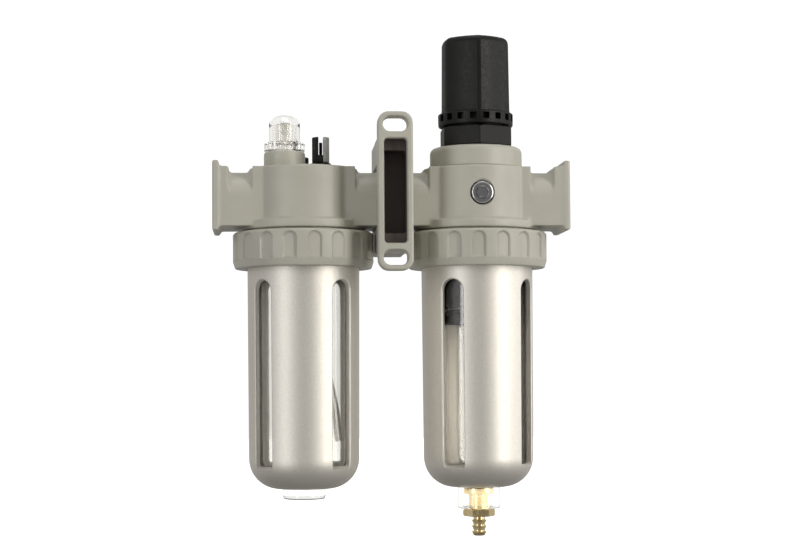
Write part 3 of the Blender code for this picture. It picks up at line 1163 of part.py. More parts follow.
def gauge_parts(unit):
    """The rear port's plug and the pressure gauge on the front port."""
    height = (0.0, 0.0, GAUGE_PORT_HEIGHT)
    face = BARREL_RADIUS + PLUG_PROUD
    plug = solid("gauge_port_plug", lying(turned([
        (0.0, face - PLUG_LENGTH), (PLUG_HEAD_RADIUS, face - PLUG_LENGTH),
        (PLUG_HEAD_RADIUS, face - PLUG_EDGE),
        (PLUG_HEAD_RADIUS - PLUG_EDGE, face), (0.0, face),
    ], SMALL_ROUND, joined=False), "-Y"), "bright_chrome", unit, height)
    key = prism(hexagon(PLUG_KEY_FLATS), face - PLUG_KEY_DEPTH, face + FIT)
    cut(plug, lying(key, "-Y"), height)

    stem = GAUGE_BORE - THREAD_FIT
    hex_back = BARREL_RADIUS + FIT
    hex_front = hex_back + STEM_HEX_LENGTH
    case_back = hex_front + FIT
    case_front = case_back + CASE_DEPTH
    bourdon_y = case_back + CASE_WALL + BOURDON_SETBACK
    stem_start = BARREL_RADIUS - GAUGE_BORE_DEPTH + FIT
    connection = solid("gauge_stem", lying(rod(stem, stem_start, bourdon_y + STEM_END),
                                           "+Y"), "brass", unit, height)
    fuse(connection, lying(prism(hexagon(STEM_HEX_FLATS), hex_back, hex_front), "+Y"), height)

    dial_front = case_front - DIAL_SETBACK
    dial_back = dial_front - DIAL_WALL
    hole = stem + FIT
    bezel_lip = BEZEL_LIP
    solid("gauge_case", lying(turned([
        (hole, case_back), (CASE_RADIUS, case_back), (CASE_RADIUS, case_front),
        (CASE_RADIUS - CASE_WALL, case_front), (CASE_RADIUS - CASE_WALL, case_back + CASE_WALL),
        (hole, case_back + CASE_WALL),
    ], MIDDLE_ROUND), "+Y"), "black_plastic", unit, height)
    inside = CASE_RADIUS - CASE_WALL - FIT
    pivot = PIVOT_RADIUS
    disc = tube(pivot + FIT, inside, dial_back, dial_front, MIDDLE_ROUND)
    solid("gauge_dial", lying(disc, "+Y"), "white_dial",
          unit, height)
    axle = rod(pivot, dial_back - PIVOT_REACH, dial_front + PIVOT_REACH, 12)
    pointer = solid("gauge_pointer", lying(axle, "+Y"),
                    "black_plastic", unit, height)
    tip = POINTER_WIDTH / 5
    outline = [(-tip, POINTER_LENGTH), (-POINTER_WIDTH / 2, -POINTER_TAIL),
               (POINTER_WIDTH / 2, -POINTER_TAIL),
               (tip, POINTER_LENGTH)]
    needle = prism(outline, dial_front + FIT, dial_front + FIT + POINTER_WALL)
    needle.transform(Matrix.Rotation(POINTER_REST, 4, "Z"))
    fuse(pointer, lying(needle, "+Y"), height)
    window_back = case_front + FIT
    window_front = window_back + WINDOW_WALL
    pane = rod(CASE_RADIUS - WINDOW_INSET, window_back, window_front, MIDDLE_ROUND)
    solid("gauge_window", lying(pane, "+Y"),
          "clear_polycarbonate", unit, height)
    bezel_back = window_front + FIT + bezel_lip - BEZEL_DEPTH
    rim = CASE_RADIUS + FIT
    solid("gauge_bezel", lying(turned([
        (rim, bezel_back), (BEZEL_RADIUS, bezel_back), (BEZEL_RADIUS, window_front + FIT + bezel_lip / 2),
        (BEZEL_RADIUS - BEZEL_EDGE, window_front + FIT + bezel_lip),
        (CASE_RADIUS - bezel_lip, window_front + FIT + bezel_lip),
        (CASE_RADIUS - bezel_lip, window_front + FIT), (rim, window_front + FIT),
    ], MIDDLE_ROUND), "+Y"), "bright_chrome", unit, height)
    points = []
    for i in range(19):
        angle = BOURDON_START + BOURDON_SWEEP * i / 18
        points.append((BOURDON_RADIUS * math.sin(angle), bourdon_y, BOURDON_RADIUS * math.cos(angle)))
    bourdon = swept("bourdon_tube", points, BOURDON_WIRE, "brass", unit)
    bourdon.location = height


def build():
    clear_scene()
    regulator = unit_empty("regulator_axis", UNIT_PITCH / 2)
    lubricator = unit_empty("lubricator_axis", -UNIT_PITCH / 2)
    regulator_body(regulator)
    lubricator_body(lubricator)
    bowl_set("filter", regulator, FILTER_RING_TURN, FILTER_SLOT_TURN, FILTER_BOSS_BOTTOM, True)
    bowl_set("oil", lubricator, OIL_RING_TURN, OIL_SLOT_TURN, OIL_BOSS_BOTTOM, False)
    setting_parts(regulator)
    valve_parts(regulator)
    drain_parts(regulator)
    lubricator_parts(lubricator)
    bracket_parts()
    gauge_parts(regulator)


build()
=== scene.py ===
import json
import math

import bmesh
import bpy
from mathutils import Matrix, Vector


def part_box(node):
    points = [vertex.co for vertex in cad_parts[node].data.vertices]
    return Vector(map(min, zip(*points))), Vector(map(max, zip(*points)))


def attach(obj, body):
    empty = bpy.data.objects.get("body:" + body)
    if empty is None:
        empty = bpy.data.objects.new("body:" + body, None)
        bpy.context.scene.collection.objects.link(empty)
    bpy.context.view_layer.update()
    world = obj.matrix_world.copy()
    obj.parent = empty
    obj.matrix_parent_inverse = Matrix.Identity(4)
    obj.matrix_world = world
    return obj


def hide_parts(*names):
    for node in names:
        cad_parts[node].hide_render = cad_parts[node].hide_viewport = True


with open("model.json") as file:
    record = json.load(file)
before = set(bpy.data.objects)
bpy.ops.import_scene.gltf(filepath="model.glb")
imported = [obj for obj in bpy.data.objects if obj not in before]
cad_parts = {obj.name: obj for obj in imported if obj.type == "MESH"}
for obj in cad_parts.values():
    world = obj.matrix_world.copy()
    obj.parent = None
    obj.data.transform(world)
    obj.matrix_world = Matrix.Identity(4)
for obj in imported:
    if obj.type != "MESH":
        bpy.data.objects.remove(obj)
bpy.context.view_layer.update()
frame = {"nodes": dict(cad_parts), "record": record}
scene = bpy.context.scene
record = frame["record"]
slotOf = {part["node"]: part["material_slot"] for part in record["subparts"]}
bodyOf = {node: body for body, nodes in record["behaviour"]["bodies"].items() for node in nodes}
mm = 0.001
replaced = set()

print("frame loaded")


def linear(hexColour, alpha=1.0):
    values = [int(hexColour[i : i + 2], 16) / 255 for i in (1, 3, 5)]
    return (*[v / 12.92 if v <= 0.04045 else ((v + 0.055) / 1.055) ** 2.4 for v in values], alpha)


def addNode(tree, kind, inputs=None, **settings):
    node = tree.nodes.new(kind)
    for key, value in settings.items():
        setattr(node, key, value)
    for key, value in (inputs or {}).items():
        if isinstance(value, bpy.types.NodeSocket):
            tree.links.new(value, node.inputs[key])
        else:
            node.inputs[key].default_value = value
    return node


def spread(tree, place, size, low, high, detail=2.0):  # noise of one grain size in mm, between two values
    noise = addNode(tree, "ShaderNodeTexNoise", {"Vector": place, "Scale": 1 / (size * mm), "Detail": detail})
    span = addNode(tree, "ShaderNodeMapRange", {"Value": noise.outputs["Fac"], "From Min": 0.3,
                                                "From Max": 0.7, "To Min": low, "To Max": high})
    return span.outputs["Result"]


def tint(tree, amount, first, second):
    mix = addNode(tree, "ShaderNodeMix", {0: amount, 6: linear(first), 7: linear(second)}, data_type="RGBA")
    return mix.outputs[2]


def relief(tree, shader, height, depth):
    bump = addNode(tree, "ShaderNodeBump", {"Height": height, "Distance": depth * mm, "Strength": 1.0})
    tree.links.new(bump.outputs["Normal"], shader.inputs["Normal"])


def newFinish(name, colours, colourGrain, roughness, roughGrain, detail=2.0, **values):  # grains in mm
    material = bpy.data.materials.new(name)
    material.use_nodes = True
    tree = material.node_tree
    shader = tree.nodes["Principled BSDF"]
    for key, value in values.items():
        shader.inputs[key.replace("_", " ")].default_value = value
    place = addNode(tree, "ShaderNodeTexCoord").outputs["Object"]
    colour = tint(tree, spread(tree, place, colourGrain, 0, 1, detail), *colours)
    tree.links.new(colour, shader.inputs["Base Color"])
    tree.links.new(spread(tree, place, roughGrain, *roughness), shader.inputs["Roughness"])
    return material, tree, shader, place


def paintedDieCast():  # warm grey stoved paint, soft sheen with a faint orange peel
    material, tree, shader, place = newFinish("paintedDieCast", ("#bebcb0", "#b7b5a9"), 14, (0.37, 0.47), 3)
    relief(tree, shader, spread(tree, place, 0.9, 0, 1, 3.0), 0.016)
    return material


def recessedDieCast(width, height, start, end):  # painted shade: the paint colour is mixed towards dark brown deep in the pocket, standing in for the shadow that falls there
    material = paintedDieCast()
    material.name = "recessedDieCast"
    tree = material.node_tree
    shader = tree.nodes["Principled BSDF"]
    paint = shader.inputs["Base Color"].links[0].from_socket
    place = addNode(tree, "ShaderNodeTexCoord").outputs["Object"]
    # mask of the painted shade: rises from 0.8 mm to 3.2 mm deep, only within the pocket's width and height
    axes = addNode(tree, "ShaderNodeSeparateXYZ", {"Vector": place}).outputs
    inside = addNode(tree, "ShaderNodeMapRange", {"Value": axes["Y"], "From Min": start * mm,
                                                  "From Max": end * mm},
                     interpolation_type="SMOOTHSTEP").outputs["Result"]
    for axis, half in (("X", width / 2), ("Z", height / 2)):
        away = addNode(tree, "ShaderNodeMath", {0: axes[axis]}, operation="ABSOLUTE")
        within = addNode(tree, "ShaderNodeMath", {0: away.outputs[0], 1: (half + 0.05) * mm},
                         operation="LESS_THAN")
        inside = addNode(tree, "ShaderNodeMath", {0: inside, 1: within.outputs[0]},
                         operation="MULTIPLY").outputs[0]
    # painted shade: this dark brown stands in for the shadow deep in the pocket
    mix = addNode(tree, "ShaderNodeMix", {0: inside, 6: paint, 7: linear("#5b514d")}, data_type="RGBA")
    tree.links.new(mix.outputs[2], shader.inputs["Base Color"])
    return material


def satinBowlGuard():  # champagne lacquer over metal flake, so the tubes show long soft bands
    material, tree, shader, place = newFinish("satinBowlGuard", ("#eeebe4", "#d6d1c7"), 0.16, (0.45, 0.54),
                                              0.25, detail=0.0, Metallic=0.8)
    relief(tree, shader, spread(tree, place, 0.35, 0, 1, 1.0), 0.011)
    return material


def blackPlastic():  # moulded nylon with a fine spark-eroded grain
    material, tree, shader, place = newFinish("blackPlastic", ("#100f0e", "#0c0b0b"), 5, (0.42, 0.52), 1.5,
                                              Specular_IOR_Level=0.3)
    relief(tree, shader, spread(tree, place, 0.25, 0, 1, 2.0), 0.006)
    return material


def clearPolycarbonate():  # clear moulding with a faint waviness
    material, tree, shader, place = newFinish("clearPolycarbonate", ("#f2f1ee", "#edece8"), 20,
                                              (0.02, 0.06), 6, Transmission_Weight=1.0, IOR=1.585)
    relief(tree, shader, spread(tree, place, 8, 0, 1, 0.0), 0.02)
    return material


def turnedBrass():  # free-cutting brass with fine turning lines along its length
    material, tree, shader, place = newFinish("turnedBrass", ("#f6e3b4", "#ecd49c"), 3, (0.22, 0.32), 1,
                                              Metallic=1.0)
    lines = addNode(tree, "ShaderNodeTexWave", {"Vector": place, "Scale": 1 / (1.6 * mm), "Distortion": 0.6},
                    bands_direction="Z")
    relief(tree, shader, lines.outputs["Fac"], 0.002)
    return material


def brightChrome():  # hard bright plating, a little orange peel from the nickel below
    return newFinish("brightChrome", ("#dcdcdf", "#d3d4d8"), 4, (0.07, 0.13), 2, Metallic=1.0)[0]


def springSteel():  # phosphated wire and screws, dark with an oily sheen
    return newFinish("springSteel", ("#77777a", "#606164"), 1.2, (0.32, 0.45), 0.8, Metallic=1.0)[0]


def blackRubber():  # nitrile, dull with a light bloom
    return newFinish("blackRubber", ("#1b1b1b", "#242424"), 2, (0.62, 0.78), 1)[0]


def sinteredElement():  # porous cream plastic, coarse grains
    material, tree, shader, place = newFinish("sinteredElement", ("#e6e0cf", "#d3cbb6"), 0.5, (0.75, 0.9), 1)
    grains = addNode(tree, "ShaderNodeTexVoronoi", {"Vector": place, "Scale": 1 / (0.35 * mm)})
    relief(tree, shader, grains.outputs["Distance"], 0.08)
    return material


def machinedAluminium():  # as turned, with concentric tool lines
    material, tree, shader, place = newFinish("machinedAluminium", ("#cfd0d2", "#c2c3c6"), 2, (0.25, 0.36),
                                              1, Metallic=1.0)
    lines = addNode(tree, "ShaderNodeTexWave", {"Vector": place, "Scale": 1 / (1.2 * mm), "Distortion": 0.4},
                    bands_direction="Z")
    relief(tree, shader, lines.outputs["Fac"], 0.003)
    return material


def whiteDial():  # matt white screen print
    return newFinish("whiteDial", ("#f1f0ec", "#ebeae5"), 8, (0.5, 0.6), 1)[0]


def dialInk():  # black printed scale
    return newFinish("dialInk", ("#141414", "#1c1c1c"), 1, (0.4, 0.5), 1)[0]


def paleKnobGrey():  # light grey moulded half of the feed screw
    return newFinish("paleKnobGrey", ("#a9a9a7", "#9e9e9c"), 3, (0.25, 0.35), 1)[0]


finishes = {
    "painted_die_cast": paintedDieCast(),
    "satin_bowl_guard": satinBowlGuard(),
    "black_plastic": blackPlastic(),
    "clear_polycarbonate": clearPolycarbonate(),
    "turned_brass": turnedBrass(),
    "bright_chrome": brightChrome(),
    "spring_steel": springSteel(),
    "black_rubber": blackRubber(),
    "sintered_element": sinteredElement(),
    "machined_aluminium": machinedAluminium(),
    "white_dial": whiteDial(),
}
ink = dialInk()
paleGrey = paleKnobGrey()

print("finishes made")


def low(node):
    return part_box(node)[0] / mm


def high(node):
    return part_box(node)[1] / mm


def centre(node):
    return (low(node) + high(node)) / 2


def soften(corners, closed=True, steps=4):  # rounds each corner that has a third value
    line = []
    for i, corner in enumerate(corners):
        here = Vector(corner[:2])
        if len(corner) < 3 or (not closed and i in (0, len(corners) - 1)):
            line.append(here)
            continue
        back = Vector(corners[i - 1][:2]) - here
        ahead = Vector(corners[(i + 1) % len(corners)][:2]) - here
        reach = min(corner[2], back.length * 0.49, ahead.length * 0.49)
        first, last = here + back.normalized() * reach, here + ahead.normalized() * reach
        for k in range(steps + 1):
            t = k / steps
            line.append(first * (1 - t) ** 2 + here * 2 * t * (1 - t) + last * t * t)
    return line


def arcLine(x, z, radius, start, end, steps):  # degrees from +x towards +z
    return [(x + radius * math.cos(math.radians(start + (end - start) * i / steps)),
             z + radius * math.sin(math.radians(start + (end - start) * i / steps)))
            for i in range(steps + 1)]


def lathe(corners, steps=128, closed=True, rounding=4):  # corners as radius and height
    shape = bmesh.new()
    line = [shape.verts.new((p.x, 0, p.y)) for p in soften(corners, closed, rounding)]
    edges = [shape.edges.new(pair) for pair in zip(line, line[1:])]
    if closed:
        edges.append(shape.edges.new((line[-1], line[0])))
    bmesh.ops.spin(shape, geom=line + edges, axis=(0, 0, 1), cent=(0, 0, 0), angle=math.tau, steps=steps,
                   use_merge=True)
    bmesh.ops.remove_doubles(shape, verts=shape.verts, dist=1e-4)
    bmesh.ops.recalc_face_normals(shape, faces=shape.faces)
    return shape


def rod(radius, bottom, top, steps=64):
    return lathe([(0, bottom), (radius, bottom), (radius, top), (0, top)], steps, closed=False)


def loft(sections, capped=True):  # sections with the same count of points
    shape = bmesh.new()
    rings = [[shape.verts.new(point) for point in section] for section in sections]
    for one, two in zip(rings, rings[1:]):
        for i in range(len(one)):
            k = (i + 1) % len(one)
            shape.faces.new((one[i], one[k], two[k], two[i]))
    if capped:
        shape.faces.new(rings[0])
        shape.faces.new(rings[-1])
    bmesh.ops.remove_doubles(shape, verts=shape.verts, dist=1e-4)
    bmesh.ops.recalc_face_normals(shape, faces=shape.faces)
    return shape


def prism(points, bottom, top):
    return loft([[(x, y, z) for x, y in points] for z in (bottom, top)])


def polygon(sides, radius, turn=0.0):
    angles = [math.tau * i / sides + math.radians(turn) for i in range(sides)]
    return [(radius * math.cos(a), radius * math.sin(a)) for a in angles]


def roundedPlate(width, height, radius, steps=8):
    points = []
    for k, (sx, sy) in enumerate(((1, 1), (-1, 1), (-1, -1), (1, -1))):
        for i in range(steps + 1):
            a = math.radians(90 * k + 90 * i / steps)
            points.append((sx * (width / 2 - radius) + radius * math.cos(a),
                           sy * (height / 2 - radius) + radius * math.sin(a)))
    return points


def cuboid(xs, ys, zs, edge=0.0, segments=3):
    shape = bmesh.new()
    bmesh.ops.create_cube(shape, size=1)
    size = Vector((xs[1] - xs[0], ys[1] - ys[0], zs[1] - zs[0]))
    shape.transform(Matrix.Translation(((xs[0] + xs[1]) / 2, (ys[0] + ys[1]) / 2, (zs[0] + zs[1]) / 2))
                    @ Matrix.Diagonal((*size, 1)))
    return rounded(shape, edge, segments) if edge else shape


def rounded(shape, edge, segments=3, over=30):  # rounds the edges sharper than an angle
    sharp = [e for e in shape.edges if e.is_manifold and e.calc_face_angle(0) > math.radians(over)]
    bmesh.ops.bevel(shape, geom=sharp, offset=edge, offset_type="OFFSET", segments=segments, profile=0.5,
                    affect="EDGES", clamp_overlap=True, material=-1)
    return shape


def helix(core, crest, pitch, bottom, top, steps=64, half=0.42):  # one thread ridge, outside or inside
    shape = bmesh.new()
    sink = 0.12 if crest > core else -0.12
    turns = (top - bottom) / pitch
    corners = [(core - sink, bottom - pitch * half), (crest, bottom - pitch * 0.06),
               (crest, bottom + pitch * 0.06), (core - sink, bottom + pitch * half)]
    verts = [shape.verts.new((r, 0, z)) for r, z in corners]
    start = shape.faces.new(verts)
    count = max(8, int(turns * steps))
    bmesh.ops.spin(shape, geom=[start] + verts + list(shape.edges), axis=(0, 0, 1), cent=(0, 0, 0),
                   angle=math.tau * turns, steps=count, dvec=(0, 0, (top - bottom) / count),
                   use_duplicate=False)
    bmesh.ops.recalc_face_normals(shape, faces=shape.faces)
    return shape


def joined(*shapes):  # several closed shells in one mesh
    whole = bmesh.new()
    for shape in shapes:
        mesh = bpy.data.meshes.new("shell")
        shape.to_mesh(mesh)
        shape.free()
        whole.from_mesh(mesh)
        bpy.data.meshes.remove(mesh)
    return whole


def moved(shape, x=0.0, y=0.0, z=0.0):
    shape.transform(Matrix.Translation((x, y, z)))
    return shape


def turned(shape, degrees, axis="Z"):
    shape.transform(Matrix.Rotation(math.radians(degrees), 4, axis))
    return shape


def facing(shape, direction):  # lays a shape drawn along +Z along another axis
    turns = {"+X": (90, "Y"), "-X": (-90, "Y"), "+Y": (-90, "X"), "-Y": (90, "X")}
    return turned(shape, *turns[direction])


def newThing(name, data):
    thing = bpy.data.objects.new(name, data)
    scene.collection.objects.link(thing)
    return thing


def thingFrom(shape, name="helper"):
    mesh = bpy.data.meshes.new(name)
    shape.to_mesh(mesh)
    shape.free()
    return newThing(name, mesh)


def baked(thing, helpers=()):  # the mesh with its modifiers applied
    bpy.context.view_layer.update()
    graph = bpy.context.evaluated_depsgraph_get()
    mesh = bpy.data.meshes.new_from_object(thing.evaluated_get(graph))
    shape = bmesh.new()
    shape.from_mesh(mesh)
    for each in (thing, *helpers):
        bpy.data.objects.remove(each)
    bpy.data.meshes.remove(mesh)
    return shape


def carve(shape, cutters, operation="DIFFERENCE", solver="MANIFOLD"):
    thing = thingFrom(shape)
    helpers = [thingFrom(cutter) for cutter in cutters]
    for helper in helpers:
        step = thing.modifiers.new("carve", "BOOLEAN")
        step.object = helper
        step.operation = operation
        step.solver = solver
    return baked(thing, helpers)


def castSkin(shape, voxel=0.5, rounds=4):  # melts the corners like a die casting
    thing = thingFrom(shape)
    skin = thing.modifiers.new("skin", "REMESH")
    skin.mode = "VOXEL"
    skin.voxel_size = voxel
    smooth = thing.modifiers.new("smooth", "SMOOTH")
    smooth.factor = 0.5
    smooth.iterations = rounds
    return baked(thing)


def hexKey(flats, bottom, top):  # a hexagon by its width across the flats
    return prism(polygon(6, flats / 2 / math.cos(math.pi / 6)), bottom, top)


def hexNut(corner, bottom, top, inset, drop):  # a hexagon with its corners chamfered at both ends
    outline = [(0, bottom - 0.01), (corner - inset, bottom - 0.01), (corner + 0.3, bottom + drop),
               (corner + 0.3, top - drop), (corner - inset, top + 0.01), (0, top + 0.01)]
    shape = prism(polygon(6, corner), bottom, top)
    return carve(shape, [lathe(outline, 96, closed=False)], "INTERSECT", "EXACT")


def smoothStep(share):
    share = min(max(share, 0.0), 1.0)
    return share * share * (3 - 2 * share)


def pressIn(shape, depthAt):  # moves each point towards the axis by a depth worked out from its place
    for vert in shape.verts:
        x, y, z = vert.co
        radius = math.hypot(x, y)
        depth = depthAt(radius, math.atan2(y, x), z)
        if depth:
            vert.co.x -= x / radius * depth
            vert.co.y -= y / radius * depth


def show(shape, name, nodes, angle=38, finish=None, at=(0, 0, 0)):
    moved(shape, *at)
    shape.transform(Matrix.Scale(mm, 4))
    thing = thingFrom(shape, name)
    thing.data.shade_smooth()
    thing.data.set_sharp_from_angle(angle=math.radians(angle))
    slot = slotOf[nodes[0]]
    thing.data.materials.append(finish or finishes[slot])
    if slot == "clear_polycarbonate":  # light passes through clear pieces, as it does in the real moulding
        thing.visible_shadow = False
        thing.visible_diffuse = False
    even = thing.modifiers.new("even", "WEIGHTED_NORMAL")
    even.keep_sharp = True
    even.weight = 60
    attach(thing, bodyOf[nodes[0]])
    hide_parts(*nodes)
    replaced.update(nodes)
    print(name, len(thing.data.polygons), "faces")
    return thing


regX, axisY = centre("bonnet").x, centre("bonnet").y
oilX = centre("oil_bowl_ring").x

casting = {
    "barrelRadius": 20.0,
    "skirtRadius": high("regulator_body").y - axisY,
    "skirtTop": -8.9,
    "skirtBottom": -12.1,
    "barrelTop": low("bonnet").z - 0.3,
    "armDepth": 13.5,
    "armBottom": -11.2,
    "neckTop": 9.4,
    "blockLength": 18.5,
    "lipHeight": 12.65,
    "lipDepth": 14.0,
    "spigotRadius": 22.0,
    "spigotBore": 18.6,
    "spigotRoof": -13.6,
    "spigotBottom": low("regulator_body").z,
    "threadCore": 21.25,
    "threadCrest": 21.95,
    "threadPitch": 1.5,
    "relief": 20.7,
    "portBore": 6.45,
    "portCrest": 5.95,
    "portPitch": 1.34,
    "portChamfer": 0.9,
    "outletDepth": 23.5,
    "inletDepth": 22.6,
    "oilPortDepth": 16.0,
    "filterHub": 9.0,
    "filterHubBottom": -18.5,
    "oilHub": 6.2,
    "oilHubBottom": -20.0,
}


def armSection(x, depth, top, bottom, arch=False, side=6, across=12):
    points = []
    count = 2 * side + across
    for i in range(count + 1):
        if arch:
            a = math.pi * i / count
            y, z = depth * math.cos(a), top * math.sin(a)
            z = max(z, 0.0)
        elif i <= side:
            y, z = depth, top * i / side
        elif i <= side + across:
            y, z = depth - 2 * depth * (i - side) / across, top
        else:
            y, z = -depth, top * (count - i) / side
        points.append((x, y, z))
    for i in range(9):
        points.append((x, -depth + 2 * depth * i / 8, bottom))
    return points


def armSections(reach, lip, step):
    c = casting
    start = reach - lip - step
    square = c["barrelTop"] - 0.1
    return [
        (c["blockLength"], c["armDepth"], square, c["armBottom"], False),
        (c["blockLength"] + 0.01, c["armDepth"], c["neckTop"], c["armBottom"], True),
        (start, c["armDepth"], c["neckTop"], c["armBottom"], True),
        (start + 0.01, c["armDepth"], square, c["armBottom"], False),
        (reach - lip, c["armDepth"], square, c["armBottom"], False),
        (reach - lip + 0.7, c["lipDepth"], c["lipHeight"], -c["lipHeight"], False),
        (reach, c["lipDepth"], c["lipHeight"], -c["lipHeight"], False),
    ]


def roughBody(side, outerReach, innerReach):
    c = casting
    outer = armSections(outerReach, 2.8, 3.2)
    inner = armSections(innerReach, 2.6, 1.8)
    stations = [(-x, *rest) for x, *rest in reversed(inner)] + outer
    sections = [armSection(x * side, *rest) for x, *rest in stations]
    barrel = lathe([(0, c["skirtBottom"]), (c["skirtRadius"], c["skirtBottom"], 0.3),
                    (c["skirtRadius"], c["skirtTop"], 0.4), (c["barrelRadius"], c["skirtTop"], 0.6),
                    (c["barrelRadius"], c["barrelTop"], 0.4), (0, c["barrelTop"])], 160, closed=False)
    return carve(barrel, [loft(sections)], "UNION", "EXACT")


def portCutter(depth, reach):  # countersunk bore drawn along +Z
    c = casting
    mouth = c["portBore"] + c["portChamfer"]
    return lathe([(0, reach - depth), (c["portBore"], reach - depth),
                  (c["portBore"], reach - c["portChamfer"]), (mouth, reach + 0.05), (mouth, reach + 2),
                  (0, reach + 2)], 96, closed=False)


def spigot(hubRadius, hubBottom):
    c = casting
    thread = c["threadCore"]
    return lathe([(0, hubBottom), (hubRadius, hubBottom, 0.4), (hubRadius, c["spigotRoof"], 0.5),
                  (c["spigotBore"], c["spigotRoof"], 0.5), (c["spigotBore"], c["spigotBottom"], 0.4),
                  (thread, c["spigotBottom"], 0.5), (thread, c["skirtBottom"] - 1.4, 0.3),
                  (c["relief"], c["skirtBottom"] - 1.2, 0.3), (c["relief"], c["skirtBottom"] + 0.4),
                  (0, c["skirtBottom"] + 0.4)],
                 160, closed=False)


def spigotThread():
    c = casting
    return helix(c["threadCore"], c["threadCrest"], c["threadPitch"], c["spigotBottom"] + 1.1,
                 c["skirtBottom"] - 2.2, 96)


def portThread(direction, reach, depth):
    c = casting
    return facing(helix(c["portBore"], c["portCrest"], c["portPitch"], reach - depth + 1.5, reach - 1.3, 48),
                  direction)


valveRoom = {"diaphragm": 15.0, "diaphragmFloor": 8.9, "plate": 7.4, "plateFloor": 6.7, "outlet": 6.5,
             "outletFloor": -1.0, "throat": 3.2, "seatTop": -2.2, "valveSeat": 5.7, "seatShelf": -6.2,
             "plateRoof": 9.2, "guide": 7.0, "guideFloor": -18.9, "feedBore": 3.2, "feedBottom": -14.6,
             "feedX": 13.2}
gaugePort = {"bore": 4.3, "floor": 12, "chamfer": 19.3, "mouth": 5.0, "face": 20.0,
             "height": centre("gauge_port_plug").z}


def regulatorCasting():
    outer, inner = high("regulator_body").x - regX, regX - low("regulator_body").x
    body = castSkin(roughBody(1, outer, inner), 0.5, 4)
    body = carve(body, [spigot(casting["filterHub"], casting["filterHubBottom"])], "UNION")
    v = valveRoom
    stack = [("guide", "guideFloor", "seatShelf"), ("valveSeat", "seatShelf", "seatTop"),
             ("throat", "seatTop", "outletFloor"), ("outlet", "outletFloor", "plateFloor"),
             ("plate", "plateFloor", "plateRoof")]
    corners = [(v[radius], v[level]) for radius, *levels in stack for level in levels]
    cutters = [
        facing(portCutter(casting["outletDepth"], outer), "+X"),
        facing(portCutter(casting["inletDepth"], inner), "-X"),
        moved(rod(v["feedBore"], v["feedBottom"], 0, 48), x=v["feedX"]),
        rod(v["diaphragm"], v["diaphragmFloor"], v["diaphragmFloor"] + 2.3, 128),
        lathe([(0, v["guideFloor"]), *corners, (0, v["plateRoof"])], 96, closed=False),
    ]
    g = gaugePort
    for direction in ("+Y", "-Y"):
        port = lathe([(0, g["floor"]), (g["bore"], g["floor"]), (g["bore"], g["chamfer"]),
                      (g["mouth"], g["face"]), (g["mouth"], g["face"] + 3), (0, g["face"] + 3)], 64,
                     closed=False)
        cutters.append(moved(facing(port, direction), z=g["height"]))
    body = carve(body, cutters)
    return joined(body, spigotThread(), portThread("+X", outer, 20), portThread("-X", inner, 19))


show(regulatorCasting(), "regulatorCasting", ["regulator_body"], angle=50, at=(regX, axisY, 0))

domeCollar = {"foot": 9, "radius": 7.6, "bore": 5.9, "depth": 8, "holeFloor": 6.6, "feedHole": 2.1,
              "fillerHole": 1.3, "siphonBore": 3.6}


def lubricatorCasting():
    c = casting
    outer, inner = oilX - low("lubricator_body").x, high("lubricator_body").x - oilX
    d = domeCollar
    domeX, top = centre("sight_dome").x - oilX, high("lubricator_body").z
    feedX = centre("feed_screw").x - oilX
    filler = centre("filler_plug")
    collar = lathe([(0, d["foot"]), (d["radius"], d["foot"]), (d["radius"], top, 0.5), (0, top)], 96,
                   closed=False)
    body = carve(roughBody(-1, outer, inner), [moved(collar, x=domeX)], "UNION", "EXACT")
    body = carve(castSkin(body, 0.5, 4), [spigot(c["oilHub"], c["oilHubBottom"])], "UNION")
    well = lathe([(0, top - d["depth"]), (d["bore"], top - d["depth"]), (d["bore"], top - 0.5),
                  (d["bore"] + 0.5, top + 0.05), (d["bore"] + 0.5, top + 2), (0, top + 2)], 96, closed=False)
    cutters = [
        facing(rod(c["portCrest"], 1 - inner, outer - 1, 96), "-X"),
        facing(portCutter(c["oilPortDepth"], outer), "-X"),
        facing(portCutter(c["oilPortDepth"], inner), "+X"),
        moved(well, x=domeX),
        moved(rod(d["feedHole"], d["holeFloor"], 12, 48), x=feedX),
        moved(rod(d["fillerHole"], d["holeFloor"], 12, 48), x=filler.x - oilX, y=filler.y - axisY),
        rod(d["siphonBore"], c["oilHubBottom"] - 0.4, c["oilHubBottom"] + 10),
    ]
    body = carve(body, cutters)
    return joined(body, spigotThread(), portThread("-X", outer, 14), portThread("+X", inner, 14))


show(lubricatorCasting(), "lubricatorCasting", ["lubricator_body"], angle=50, at=(oilX, axisY, 0))

ring = {
    "top": high("filter_bowl_ring").z,
    "bottom": low("filter_bowl_ring").z,
    "radius": 25.8,
    "foot": 24.9,
    "bore": 22.3,
    "sill": 20.8,
    "grips": 18,
    "gripWidth": 4.9,
    "gripDepth": 0.85,
    "gripSlope": 0.34,
    "gripTop": 1.1,
    "gripHeight": 9.1,
}


